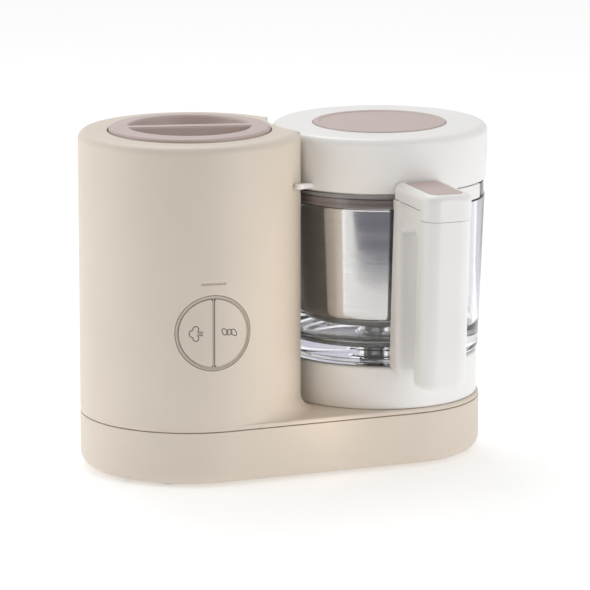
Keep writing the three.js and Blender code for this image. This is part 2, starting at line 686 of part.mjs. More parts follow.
/** The frame: a collar round part of the glass neck and a strap down the glass. */
function handleFrame() {
  const collarShape = new THREE.Shape();
  const [from, to] = [-100, -44].map(THREE.MathUtils.degToRad);
  collarShape.absarc(0, 0, 80.9, from, to, false);
  collarShape.absarc(0, 0, 79, to, from, true);
  collarShape.closePath();
  const depth = LID_Z - 0.4 - (GLASS_NECK_Z + 0.9);
  const collar = new THREE.ExtrudeGeometry(collarShape, { depth, bevelEnabled: false, curveSegments: 14 });
  collar.translate(0, 0, GLASS_NECK_Z + 0.9);
  const strap = lofted([
    roundedRing(16, -70, -STRAP_FACE, 2, 5, HANDLE_BOTTOM + 3),
    roundedRing(19.5, -70, -STRAP_FACE, 2, 5, HANDLE_BOTTOM + 6),
    roundedRing(20, -70, -STRAP_FACE, 2, 5, HANDLE_BOTTOM + 10),
    roundedRing(19, -70, -STRAP_FACE, 2, 5, HANDLE_SEAM - 0.2),
  ]);
  const glassRoom = turned([
    [0, 60],
    [75.5, 60],
    [75.5, 80.6],
    [80, GLASS_NECK_Z],
    [79, GLASS_NECK_Z + 0.9],
    [79, 215],
    [0, 215],
  ]);
  const screwHoles = HANDLE_SCREWS.map((x) =>
    join(
      rodAlongY(3.6, -82.6, -70, x, HANDLE_SCREW_Z, 12),
      rodAlongY(1.9, -100, -70, x, HANDLE_SCREW_Z, 12),
    ),
  );
  return cut(join(collar, strap), glassRoom, ...screwHoles);
}
place(handle, "handle_frame", handleFrame(), "white");

/** The grip: a column that leans in towards its foot, hung from a bridge with an arched underside. */
function handleGrip() {
  const section = (z, grow) => {
    const lean = (8 * (HANDLE_SEAM - z)) / (HANDLE_SEAM - HANDLE_BOTTOM);
    const nose = -HANDLE_FRONT + lean - grow;
    return roundedRing(HANDLE_HALF + grow, nose + 22, nose, 5, 11, z);
  };
  const column = lofted([
    section(HANDLE_BOTTOM, -3),
    section(HANDLE_BOTTOM + 1, -1),
    section(HANDLE_BOTTOM + 3, 0),
    section(HANDLE_SEAM - 7.2, 0),
  ]);
  const side = new THREE.Shape();
  side.moveTo(STRAP_FACE + 0.4, HANDLE_SEAM - 0.2);
  side.lineTo(STRAP_FACE + 0.4, 172);
  side.quadraticCurveTo(90, 189, 106, 189);
  side.quadraticCurveTo(121, 189, 121.5, 170);
  side.lineTo(126, 170);
  side.lineTo(128, HANDLE_SEAM - 0.2);
  side.closePath();
  const sweep = { depth: 2 * HANDLE_HALF, bevelEnabled: false, curveSegments: 6 };
  const bridge = new THREE.ExtrudeGeometry(side, sweep);
  bridge.translate(0, 0, -HANDLE_HALF).rotateX(Math.PI / 2).rotateZ(-Math.PI / 2);
  const pilots = HANDLE_SCREWS.map((x) => rodAlongY(1.7, -108, -80, x, HANDLE_SCREW_Z, 10));
  return cut(join(column, bridge), ...pilots);
}
place(handle, "handle_grip", handleGrip(), "white");

const BUTTON_POCKET = { halfX: 12.6, back: -83, front: -137 };

/** The cap over the handle's head, with a front lip and the pocket for the release button. */
function handleCap() {
  const nose = -HANDLE_FRONT - 0.3;
  const rim = (z, inset) => roundedRing(HANDLE_HALF + 0.5 - inset, -76, nose + inset, 2, 11, z);
  const outside = lofted([
    rim(HANDLE_SEAM - 6.8, 0),
    ...arc(0, HANDLE_TOP - 5, 5, 0, 80, 4).map(([x, z]) => rim(z, 5 - x)),
  ]);
  const below = block(-40, 40, -128.5, -60, 190, HANDLE_SEAM + 0.2);
  const { halfX, back, front } = BUTTON_POCKET;
  const pocket = lofted([
    roundedRing(halfX, back, front, 1, 5, HANDLE_TOP - 6),
    roundedRing(halfX, back, front, 1, 5, HANDLE_TOP + 2),
  ]);
  return cut(outside, below, rod(LID_R + 0.8, 190, 230, SIDES), pocket);
}
place(handle, "handle_cap", handleCap(), "white");

const { halfX, back, front } = BUTTON_POCKET;
const releaseButton = lofted([
  roundedRing(halfX - GAP, back - GAP, front + GAP, 1, 4.6, HANDLE_TOP - 3.4),
  roundedRing(halfX - GAP, back - GAP, front + GAP, 1, 4.6, HANDLE_TOP - 0.1),
  roundedRing(halfX - GAP - 0.5, back - GAP - 0.5, front + GAP + 0.5, 1, 4.2, HANDLE_TOP + 0.3),
]);
place(handle, "release_button", releaseButton, "mauve");

HANDLE_SCREWS.forEach((x, i) => {
  const profile = [[0, 80.6], [3.2, 80.6], [3.2, 82.2], [1.4, 82.2], [1.4, 104], [0, 104]];
  const screw = turned(profile, 8).rotateX(Math.PI / 2);
  place(handle, `handle_screw_${i + 1}`, screw, "steel").position.set(x, 0, HANDLE_SCREW_Z);
});

// ---------------------------------------------------------------- origin under the middle of the object

const bounds = new THREE.Box3().setFromObject(assembly, true);
const middle = bounds.getCenter(new THREE.Vector3());
assembly.position.set(-middle.x, -middle.y, -bounds.min.z);

const part = new THREE.Group();
part.add(assembly);
export default part;
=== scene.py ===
"""A baby food maker: its visible pieces, materials, light and camera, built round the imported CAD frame.

Lengths are millimetres until settle() turns a finished piece into metres. A turned piece is drawn as a profile of
[radius, height, rounding] corners. Axes, outer sizes and heights are read from the CAD nodes' boxes.
"""

from math import acos, asin, atan2, cos, degrees, hypot, pi, radians, remainder, sin, sqrt, tan

import bmesh
import bpy
from mathutils import Matrix, Vector


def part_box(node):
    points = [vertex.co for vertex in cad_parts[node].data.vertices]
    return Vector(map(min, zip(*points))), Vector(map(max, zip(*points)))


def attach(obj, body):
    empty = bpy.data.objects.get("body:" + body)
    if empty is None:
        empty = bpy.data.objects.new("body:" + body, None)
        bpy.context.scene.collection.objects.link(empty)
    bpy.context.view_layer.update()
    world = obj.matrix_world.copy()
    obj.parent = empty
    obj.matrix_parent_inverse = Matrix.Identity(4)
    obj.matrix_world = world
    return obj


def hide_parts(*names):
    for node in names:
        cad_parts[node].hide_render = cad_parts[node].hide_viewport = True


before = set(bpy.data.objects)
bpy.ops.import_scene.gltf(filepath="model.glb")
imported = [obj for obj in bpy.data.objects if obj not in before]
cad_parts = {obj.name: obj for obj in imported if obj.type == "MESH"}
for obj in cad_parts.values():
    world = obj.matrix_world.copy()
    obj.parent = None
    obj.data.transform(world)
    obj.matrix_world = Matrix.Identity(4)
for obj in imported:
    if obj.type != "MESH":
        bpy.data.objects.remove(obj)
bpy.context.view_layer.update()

MM = 0.001
SIDES = 160  # facets of a large turned piece
MANY_SIDES = 200  # facets of the outermost ones
FEW_SIDES = 48  # facets of a small one

# -------- sizes read from the frame


def corners(node):
    """Lowest and highest corner of a CAD node, in millimetres."""
    low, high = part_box(node)
    return low / MM, high / MM


def axis_of(node):
    """The upright axis through the middle of a CAD node."""
    low, high = corners(node)
    return Vector(((low.x + high.x) / 2, (low.y + high.y) / 2, 0))


def extent(node):
    """Radius, lowest height and highest height of a turned CAD node."""
    low, high = corners(node)
    return (high.x - low.x) / 2, low.z, high.z


def heights(node):
    """Lowest and highest height of a CAD node."""
    return extent(node)[1:]


def upright(node):
    """Middle height and half height of a CAD node."""
    low, high = heights(node)
    return (low + high) / 2, (high - low) / 2


TOWER = axis_of("tank_cap")
JUG = axis_of("lid_disc")
AXIS_GAP = JUG.x - TOWER.x
TOWER_R = corners("upper_housing")[1].y - TOWER.y
TOWER_TOP = heights("upper_housing")[1]
END_R = corners("lower_shell")[1].x - JUG.x
BASE_Z, SHELL_TOP = heights("lower_shell")
STAND_R, STAND_Z, STAND_TOP = extent("pedestal")
DECK_Z = STAND_Z - 0.3
LID_R = corners("lid_shell")[1].x - JUG.x
LID_TOP = heights("lid_shell")[1]
LID_Z = heights("lid_seal")[1] + 0.2
BAY_R = LID_R + 3
WALL = 2.8
CAP_R, CAP_Z, CAP_TOP = extent("tank_cap")
BOWL_R, BOWL_Z, BOWL_TOP = extent("glass_bowl")
NECK_Z = BOWL_TOP - 10.8  # where the glass steps out to its neck
DISC_R, DISC_Z, DISC_TOP = extent("lid_disc")
CONTROL_Z, BEZEL_R = upright("control_bezel")
LENS_Z, LENS_HALF = upright("indicator_lens")
STEAM_Z = upright("steam_outlet")[0]
GLAND_Z = upright("power_inlet")[0]

BUTTON_TURN = radians(-6.7)
CAP_BAR_TURN = radians(-13)
HANDLE_TURN = radians(0.5)

# -------- outlines


def soft(corner_points, closed=True, step=9.0):
    """A polyline whose corners [x, y, radius] become arcs, with a point about every step degrees."""
    out = []
    count = len(corner_points)
    for i, corner in enumerate(corner_points):
        here = Vector(corner[:2])
        radius = corner[2] if len(corner) > 2 else 0
        inner = closed or 0 < i < count - 1
        if radius <= 0 or not inner:
            out.append((here.x, here.y))
            continue
        back = (Vector(corner_points[i - 1][:2]) - here).normalized()
        ahead = (Vector(corner_points[(i + 1) % count][:2]) - here).normalized()
        half = back.angle(ahead) / 2
        centre = here + (back + ahead).normalized() * radius / sin(half)
        start = here + back * radius / tan(half) - centre
        end = here + ahead * radius / tan(half) - centre
        turn = start.angle_signed(end)
        pieces = max(2, round(abs(degrees(turn)) / step))
        first = atan2(start.y, start.x)
        for k in range(pieces + 1):
            angle = first - turn * k / pieces
            out.append((centre.x + radius * cos(angle), centre.y + radius * sin(angle)))
    return out


def arc(centre_x, centre_y, radius, start, end, pieces):
    """Points of an arc between two angles in degrees."""
    angles = [radians(start + (end - start) * k / pieces) for k in range(pieces + 1)]
    return [(centre_x + radius * cos(a), centre_y + radius * sin(a)) for a in angles]


def quarter(turns):
    """How far in and how far up a unit quarter round goes, at angles in degrees from its upright side."""
    return [(1 - cos(radians(a)), sin(radians(a))) for a in turns]


def round_rect(half_x, back, front, back_radius, front_radius, step=7.5):
    """A rectangle with round corners, anticlockwise from its front left, front towards -Y."""
    return soft([
        (-half_x, front, front_radius),
        (half_x, front, front_radius),
        (half_x, back, back_radius),
        (-half_x, back, back_radius),
    ], step=step)


def level(outline, z):
    return [(x, y, z) for x, y in outline]


# -------- solids


def solid(verts, faces):
    """A mesh object in millimetres with its faces turned outwards."""
    mesh = bpy.data.meshes.new("solid")
    mesh.from_pydata([tuple(v) for v in verts], [], faces)
    work = bmesh.new()
    work.from_mesh(mesh)
    bmesh.ops.remove_doubles(work, verts=work.verts, dist=1e-4)
    bmesh.ops.recalc_face_normals(work, faces=work.faces)
    work.to_mesh(mesh)
    work.free()
    return linked("solid", mesh)


def linked(name, data):
    """A new object of the scene."""
    made = bpy.data.objects.new(name, data)
    bpy.context.scene.collection.objects.link(made)
    return made


def skin(rings, first=None, last=None, ring_loop=False):
    """A closed skin over rings of equal length. first and last are middle points that close its ends."""
    count = len(rings[0])
    verts = [p for ring in rings for p in ring]
    faces = []
    levels = len(rings)
    for row in range(levels if ring_loop else levels - 1):
        low, high = row * count, (row + 1) % levels * count
        for i in range(count):
            j = (i + 1) % count
            faces.append((low + i, low + j, high + j, high + i))
    for point, start in ((first, 0), (last, (levels - 1) * count)):
        if point is not None:
            verts.append(point)
            faces += [(len(verts) - 1, start + i, start + (i + 1) % count) for i in range(count)]
    return solid(verts, faces)


def stack(levels, x=0.0, y=0.0, ends=None):
    """A solid over [outline, height] levels. Each end closes round a middle point, at its own height or at ends."""
    low, high = ends or (levels[0][1], levels[-1][1])
    return skin([level(outline, z) for outline, z in levels], first=(x, y, low), last=(x, y, high))


def lathe(profile, sides=SIDES):
    """A piece turned about the Z axis. A profile that starts and ends on the axis is closed there."""
    body = [p for p in profile if abs(p[0]) > 1e-6]
    turns = [2 * pi * k / sides for k in range(sides)]
    rings = [[(r * cos(a), r * sin(a), z) for a in turns] for r, z in body]
    if len(body) == len(profile):
        return skin(rings, ring_loop=True)
    return skin(rings, first=(0, 0, profile[0][1]), last=(0, 0, profile[-1][1]))


def spin(points, sides=SIDES, step=9.0):
    """A turned piece from its profile's corners, which starts on the axis or is a closed loop."""
    return lathe(soft(points, closed=points[0][0] > 0, step=step), sides)


def rod(radius, low, high, sides=FEW_SIDES):
    return lathe([(0, low), (radius, low), (radius, high), (0, high)], sides)


def prism(outline, low, high):
    """An upright prism over an outline."""
    middle = Vector((sum(p[0] for p in outline), sum(p[1] for p in outline))) / len(outline)
    return stack([(outline, low), (outline, high)], middle.x, middle.y)


def block(x0, x1, y0, y1, z0, z1, edge=0.0):
    """A box between two corners, its upright edges rounded by edge."""
    return shifted(prism(round_rect((x1 - x0) / 2, y1, y0, edge, edge, 15), z0, z1), x=(x0 + x1) / 2)


def moved(made, matrix):
    made.data.transform(matrix)
    return made


def shifted(made, x=0.0, y=0.0, z=0.0):
    return moved(made, Matrix.Translation((x, y, z)))


def at(axis, made):
    return moved(made, Matrix.Translation(axis))


def turned_z(made, angle):
    return moved(made, Matrix.Rotation(angle, 4, "Z"))


def along_y(made, angle=pi / 2):
    """Lays an upright piece down: its +Z end points to -Y."""
    return moved(made, Matrix.Rotation(angle, 4, "X"))


def along_x(made):
    """Lays an upright piece down: its +Z end points to +X."""
    return moved(made, Matrix.Rotation(pi / 2, 4, "Y"))


def around(count, make, start=0.0):
    """Copies turned evenly about the Z axis, the first by a share start of one step."""
    return [turned_z(make(), 2 * pi * (k + start) / count) for k in range(count)]


def merged(parts):
    """Several solids as one object, without joining their skins."""
    work = bmesh.new()
    for part in parts:
        work.from_mesh(part.data)
    work.to_mesh(parts[0].data)
    work.free()
    for part in parts[1:]:
        discard(part)
    return parts[0]


def discard(made):
    mesh = made.data
    bpy.data.objects.remove(made)
    bpy.data.meshes.remove(mesh)


def boolean(body, tools, operation):
    """body with each tool joined to it, cut from it or kept in common with it."""
    for tool in tools:
        step = body.modifiers.new("step", "BOOLEAN")
        step.solver = "EXACT"
        step.operation = operation
        step.object = tool
    graph = bpy.context.evaluated_depsgraph_get()
    mesh = bpy.data.meshes.new_from_object(body.evaluated_get(graph))
    body.modifiers.clear()
    old = body.data
    body.data = mesh
    bpy.data.meshes.remove(old)
    for tool in tools:
        discard(tool)
    return body


def cut(body, *tools):
    return boolean(body, tools, "DIFFERENCE")


def join(body, *tools):
    return boolean(body, tools, "UNION")


SHARP_ANGLE = radians(32)
WELD = 2e-4  # points nearer than this become one


def dress(made, finish):
    """Gives an object a finish's material as its only one."""
    made.data.materials.clear()
    made.data.materials.append(finish[0])


def settle(made, name, body, finish, node=None, weighted=True):
    """Names a finished solid, turns it into metres, shades it and hands it to its CAD body."""
    made.name = made.data.name = name
    work = bmesh.new()
    work.from_mesh(made.data)
    bmesh.ops.remove_doubles(work, verts=work.verts, dist=WELD)
    bmesh.ops.dissolve_degenerate(work, edges=work.edges, dist=WELD)
    work.to_mesh(made.data)
    work.free()
    made.data.transform(Matrix.Scale(MM, 4))
    made.data.shade_smooth()
    made.data.set_sharp_from_angle(angle=SHARP_ANGLE)
    dress(made, finish)
    if weighted:
        made.modifiers.new("even_normals", "WEIGHTED_NORMAL").keep_sharp = True
    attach(made, body)
    if node:
        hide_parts(node)


# -------- materials

NOISE_SPAN = (0.3, 0.7)  # the range that most of a noise texture's values lie in


class Nodes:
    """Adds and links the nodes of one material or world."""

    def __init__(self, owner, shader="Principled BSDF"):
        owner.use_nodes = True
        self.owner = owner
        self.tree = owner.node_tree
        self.shader = self.tree.nodes[shader]

    def feed(self, node, sockets):
        """Makes each named socket follow another node's output or hold a plain value."""
        for name, value in sockets.items():
            if isinstance(value, bpy.types.NodeSocket):
                self.tree.links.new(value, node.inputs[name])
            else:
                node.inputs[name].default_value = value
        return self.owner

    def add(self, kind, sockets, **settings):
        node = self.tree.nodes.new("ShaderNode" + kind)
        for key, value in settings.items():
            setattr(node, key, value)
        self.feed(node, sockets)
        return node

    def place(self, scale=(1.0, 1.0, 1.0)):
        """Object coordinates, stretched by a scale."""
        where = self.add("TexCoord", {}).outputs["Object"]
        return self.add("Mapping", {"Scale": scale, "Vector": where}).outputs["Vector"]

    def noise(self, where, scale, detail=2.0, roughness=0.5):
        sockets = {"Scale": scale, "Detail": detail, "Roughness": roughness, "Vector": where}
        return self.add("TexNoise", sockets).outputs["Fac"]

    def between(self, factor, low, high):
        """A value that runs from low to high over the noise span."""
        start, end = NOISE_SPAN
        sockets = {"From Min": start, "From Max": end, "To Min": low, "To Max": high, "Value": factor}
        return self.add("MapRange", sockets).outputs["Result"]

    def tones(self, factor, dark, light):
        """A colour that runs between two tones over the noise span."""
        node = self.add("ValToRGB", {"Fac": factor})
        for element, position, tone in zip(node.color_ramp.elements, NOISE_SPAN, (dark, light)):
            element.position = position
            element.color = (*tone, 1)
        return node.outputs["Color"]

    def bump(self, height, strength, distance, under=None):
        sockets = {"Strength": strength, "Distance": distance, "Height": height}
        if under is not None:
            sockets["Normal"] = under
        return self.add("Bump", sockets).outputs["Normal"]

    def surface(self, colour, roughness, normal, others=()):
        """The finished material."""
        return self.feed(self.shader, {"Base Color": colour, "Roughness": roughness, "Normal": normal, **dict(others)})


def material(name):
    return Nodes(bpy.data.materials.new(name))


def tinted(colour, share):
    return tuple(min(1.0, c * share) for c in colour)


def plastic(name, colour, roughness, grain=0.35, coat=0.0):
    """Moulded plastic: a fine spark-eroded grain, faint flow marks and slightly uneven gloss."""
    m = material(name)
    here = m.place()
    cloud = m.noise(here, 14, 3)
    return m.surface(
        m.tones(cloud, tinted(colour, 0.975), tinted(colour, 1.015)),
        m.between(m.noise(here, 700), roughness * 0.9, roughness * 1.1),
        m.bump(m.noise(here, 2600), grain, 0.00004, m.bump(cloud, 0.05, 0.0006)),
        {"Coat Weight": coat, "Coat Roughness": 0.12},
    )


def metal(name, colour, roughness, stretch=(1.0, 1.0, 1.0), lines=0.25, line_scale=900):
    """Metal with a brushed or turned finish: its fine lines run where the stretch is small."""
    m = material(name)
    where = m.place(stretch)
    brushed = m.noise(where, line_scale, 4, 0.65)
    return m.surface(
        m.tones(brushed, tinted(colour, 0.93), tinted(colour, 1.04)),
        m.between(m.noise(where, line_scale / 9, 3), roughness * 0.8, roughness * 1.25),
        m.bump(brushed, lines, 0.00003, m.bump(m.noise(m.place(), 22), 0.04, 0.0004)),
        {"Metallic": 1.0},
    )


def rubber(name, colour, roughness=0.75):
    """Soft moulded rubber: dull, cloudy and finely grained."""
    m = material(name)
    here = m.place()
    fine = m.noise(here, 1500, 3)
    return m.surface(
        m.tones(m.noise(here, 60), tinted(colour, 0.85), tinted(colour, 1.15)),
        m.between(fine, roughness * 0.85, roughness),
        m.bump(fine, 0.4, 0.00006),
    )


def clear_glass(name):
    """Pressed soda glass: almost clear and a little cool, with slow waves in its surface and a trace of film."""
    m = material(name)
    here = m.place()
    film = m.noise(here, 90, 3)
    return m.surface(
        m.tones(film, (0.962, 0.966, 0.972), (0.980, 0.984, 0.990)),
        m.between(film, 0.0, 0.02),
        m.bump(m.noise(here, 26), 0.12, 0.0009),
        {"Transmission Weight": 1.0, "IOR": 1.5},
    )


def printed_board(name):
    """A green circuit board with darker and lighter spots."""
    m = material(name)
    spots = m.noise(m.place(), 240)
    return m.surface(
        m.tones(spots, (0.02, 0.10, 0.05), (0.05, 0.20, 0.10)),
        m.between(spots, 0.3, 0.5),
        m.bump(spots, 0.3, 0.0001),
    )


BEIGE = (0.700, 0.620, 0.530)
WHITE = (0.860, 0.850, 0.830)
MAUVE = (0.535, 0.432, 0.402)

# each finish is a material and the slot name that goes with it
beige = plastic("beige_plastic", BEIGE, 0.46), "beige_housing"
white = plastic("white_plastic", WHITE, 0.34, grain=0.2, coat=0.06), "white_plastic"
mauve = plastic("mauve_plastic", MAUVE, 0.42), "mauve_plastic"
key_beige = plastic("button_plastic", tinted(BEIGE, 0.97), 0.42), "beige_housing"
ring_beige = plastic("ring_plastic", tinted(BEIGE, 0.80), 0.46), "beige_housing"
ink = plastic("icon_ink", (0.10, 0.085, 0.07), 0.5), "beige_housing"
lamp = plastic("lamp_lens", (0.58, 0.50, 0.38), 0.25, coat=0.3), "lamp_lens"
black = plastic("black_plastic", (0.030, 0.030, 0.032), 0.5), "black_plastic"
inner_white = plastic("inner_white_plastic", tinted(WHITE, 0.94), 0.4), "white_plastic"
silicone = rubber("silicone", (0.72, 0.68, 0.64), 0.6), "seal_silicone"
foot_rubber = rubber("foot_rubber", (0.36, 0.33, 0.30)), "foot_rubber"
basket_steel = metal("basket_steel", (0.73, 0.71, 0.685), 0.12, (0.03, 0.03, 1.0), 0.3, 1500), "basket_steel"
turned_steel = metal("turned_steel", (0.62, 0.62, 0.63), 0.3, (0.05, 0.05, 1.0)), "steel"
blade_steel = metal("blade_steel", (0.72, 0.72, 0.73), 0.16, (1.0, 0.05, 0.05), 0.2), "steel"
aluminium = metal("spun_aluminium", (0.78, 0.79, 0.80), 0.34, (0.04, 0.04, 1.0)), "aluminium"
brass = metal("brass", (0.72, 0.52, 0.24), 0.3), "brass"
glass = clear_glass("bowl_glass"), "bowl_glass"
board = printed_board("circuit_board"), "circuit_board"

# -------- base

SHELL_EDGE = 9.0
LIP_EDGE = 0.5
SIDE_LEAN = asin((TOWER_R - END_R) / AXIS_GAP)  # the straight sides' angle to the X axis
FOOT_NODES = [f"foot_{i}" for i in range(1, 5)]
SCREW_NODES = [f"base_screw_{i}" for i in range(1, 5)]


def base_reach(angle, inset):
    """Distance from the tower axis to the base outline: two unequal round ends joined by straight sides."""
    half = pi / 2 - SIDE_LEAN
    turn = abs(remainder(angle, 2 * pi))
    far, near = END_R - inset, TOWER_R - inset
    if turn >= half:
        return near
    touch = atan2(far * sin(half), AXIS_GAP + far * cos(half))
    if turn >= touch:
        return near / cos(turn - half)
    return AXIS_GAP * cos(turn) + sqrt(far**2 - (AXIS_GAP * sin(turn)) ** 2)


def base_outline(inset, pieces=56):
    """The base outline as evenly spaced points round its two ends."""
    half = 90 - degrees(SIDE_LEAN)
    return [
        *arc(AXIS_GAP, 0, END_R - inset, -half, half, pieces),
        *arc(0, 0, TOWER_R - inset, half, 360 - half, pieces),
    ]


def lower_shell():
    """The tray under the base: round lower edges, foot recesses, screw holes, cooling slots."""
    profile = [
        *arc(SHELL_EDGE, BASE_Z + SHELL_EDGE, SHELL_EDGE, -90, -180, 12),
        *arc(LIP_EDGE, SHELL_TOP - LIP_EDGE, LIP_EDGE, 180, 90, 4),
        (WALL, SHELL_TOP),
        *arc(SHELL_EDGE, BASE_Z + SHELL_EDGE, SHELL_EDGE - WALL, -180, -90, 8),
    ]
    tray = stack([(base_outline(inset), z) for inset, z in profile], AXIS_GAP / 2, ends=(BASE_Z, BASE_Z + WALL))
    tools = [at(axis_of(node) - TOWER, rod(9.5, -1, BASE_Z + 1.4)) for node in FOOT_NODES]
    well = [(0, -1), (4.4, -1), (3.6, BASE_Z + 0.6), (3.6, BASE_Z + 1.6), (1.9, BASE_Z + 1.6),
            (1.9, BASE_Z + 8), (0, BASE_Z + 8)]
    tools += [at(axis_of(node) - TOWER, lathe(well, FEW_SIDES)) for node in SCREW_NODES]
    for y in range(-16, 17, 8):
        tools.append(block(AXIS_GAP - 15, AXIS_GAP + 15, y - 1.5, y + 1.5, -1, BASE_Z + 8, 1.4))
    tools.append(shifted(along_y(rod(6.4, -100, -60)), z=GLAND_Z))
    return at(TOWER, cut(tray, merged(tools)))


settle(lower_shell(), "lower_shell_moulding", "base", beige, "lower_shell")


def foot(node):
    """A rubber foot with a groove near its rim."""
    radius, low, high = extent(node)
    groove_in, groove_out, depth = radius - 2.4, radius - 1.2, 0.5
    return at(axis_of(node), spin([
        (0, low), (groove_in, low, 0.2), (groove_in, low + depth, 0.2), (groove_out, low + depth, 0.1),
        (groove_out, low, 0.2), (radius, low, 0.8), (radius, high, 0.2), (0, high),
    ], FEW_SIDES))


def base_screw(node):
    """A pan-head screw, head down, with a cross recess and a threaded shank."""
    radius, low, high = extent(node)
    length, head, shank = high - low, 0.9, 1.3
    profile = soft([(0, 0), (radius, 0, head * 0.8), (radius, head, 0.1), (shank, head, 0.1)], closed=False)
    z = head + 0.6
    while z < length - 1.6:
        profile += [(shank, z), (shank + 0.3, z + 0.35), (shank, z + 0.7)]
        z += 1.0
    profile += [(shank * 0.7, length - 0.6), (0, length)]
    slots = [block(-1.7, 1.7, -0.35, 0.35, -1, 0.9), block(-0.35, 0.35, -1.7, 1.7, -1, 0.9)]
    return at(axis_of(node), shifted(cut(lathe(profile, 28), *slots), z=low))


for foot_node in FOOT_NODES:
    settle(foot(foot_node), foot_node + "_pad", "base", foot_rubber, foot_node)
for screw_node in SCREW_NODES:
    settle(base_screw(screw_node), screw_node + "_steel", "base", turned_steel, screw_node)


def power_gland():
    """The cord gland: a flanged bush with a soft mouth and grip ribs round its rim."""
    low, high = corners("power_inlet")
    back, front = high.y - TOWER.y, low.y - TOWER.y
    outer, mouth, neck, flange = (high.x - low.x) / 2, 3.6, 6, back - 2.5
    bush = spin([
        (mouth, front), (outer - 0.3, front, 0.3), (outer - 0.3, front + 3.6, 0.3), (neck, front + 3.6),
        (neck, flange), (outer, flange, 0.3), (outer, back, 1.2), (mouth, back, 1.0),
    ], 64)
    ribs = around(18, lambda: block(outer - 0.5, outer + 1, -0.5, 0.5, back - 3, back + 1, 0.2))
    return at(TOWER, shifted(along_y(cut(bush, merged(ribs)), -pi / 2), z=GLAND_Z))


settle(power_gland(), "cord_gland", "base", black, "power_inlet")

# -------- upper housing

CUSP_R = 1.3  # rounding of the edge between tower wall and bay
CUSP_PIECES, WALL_PIECES, BAY_PIECES = 6, 150, 40
TOWER_EDGE, BAY_EDGE = 6.0, 1.6  # rounding of the top edge on the tower wall and in the bay
FLARE, BAY_FLARE = 10.0, 1.0  # rounding of the wall's foot on the deck, on the tower and in the bay
DECK_EDGE, DECK_INSET = 2.2, 0.2
SEAM_Z, SEAM_INSET = SHELL_TOP + 0.6, 0.6
POCKET_Z = 240.5  # floor of the cap's pocket
POCKET_R = 53
MOUTH_R = 44
ROOF_R = 62.4  # inner side of the tower's roof
PLAIN_RINGS = (90, 130, 170, 210)  # heights that divide the upright wall
MOTOR_HOLE_R = 52


def tower_outline(inset=0.0, bay_inset=0.0):
    """The tower seen from above: a circle less the bay, anticlockwise from the cusp on the +Y side."""
    reach, bay = TOWER_R - inset, BAY_R + bay_inset
    x = (AXIS_GAP**2 + (reach - CUSP_R) ** 2 - (bay + CUSP_R) ** 2) / (2 * AXIS_GAP)
    y = sqrt((reach - CUSP_R) ** 2 - x**2)
    cusp = degrees(atan2(y, x))
    inward = degrees(atan2(y, AXIS_GAP - x))
    return [
        *arc(0, 0, reach, cusp, 360 - cusp, WALL_PIECES),
        *arc(x, -y, CUSP_R, -cusp, inward, CUSP_PIECES)[1:-1],
        *arc(AXIS_GAP, 0, bay, 180 + inward, 180 - inward, BAY_PIECES),
        *arc(x, y, CUSP_R, -inward, cusp, CUSP_PIECES)[1:-1],
    ]


def bayness():
    """For each point of the tower outline, 0 on the tower wall and 1 in the bay."""
    rise = [k / CUSP_PIECES for k in range(1, CUSP_PIECES)]
    return [0.0] * (WALL_PIECES + 1) + rise + [1.0] * (BAY_PIECES + 1) + rise[::-1]


def ledge(angle, wall, outward, flare):
    """Distance at a point of the ledge round the tower, full size where the deck is wide and squeezed elsewhere.

    outward is the distance in from the deck's rim, or, when negative, out from the tower's wall.
    """
    rim = base_reach(angle, DECK_INSET)
    room = rim - wall
    squeeze = max(0.0, min(1.0, room / (DECK_EDGE + flare)))
    squeeze = squeeze * squeeze * (3 - 2 * squeeze) if squeeze < 1 else 1
    if outward >= 0:
        return rim - outward * min(squeeze, max(room, 0) / (DECK_EDGE + flare))
    return wall + min(-outward * squeeze, max(room, 0))


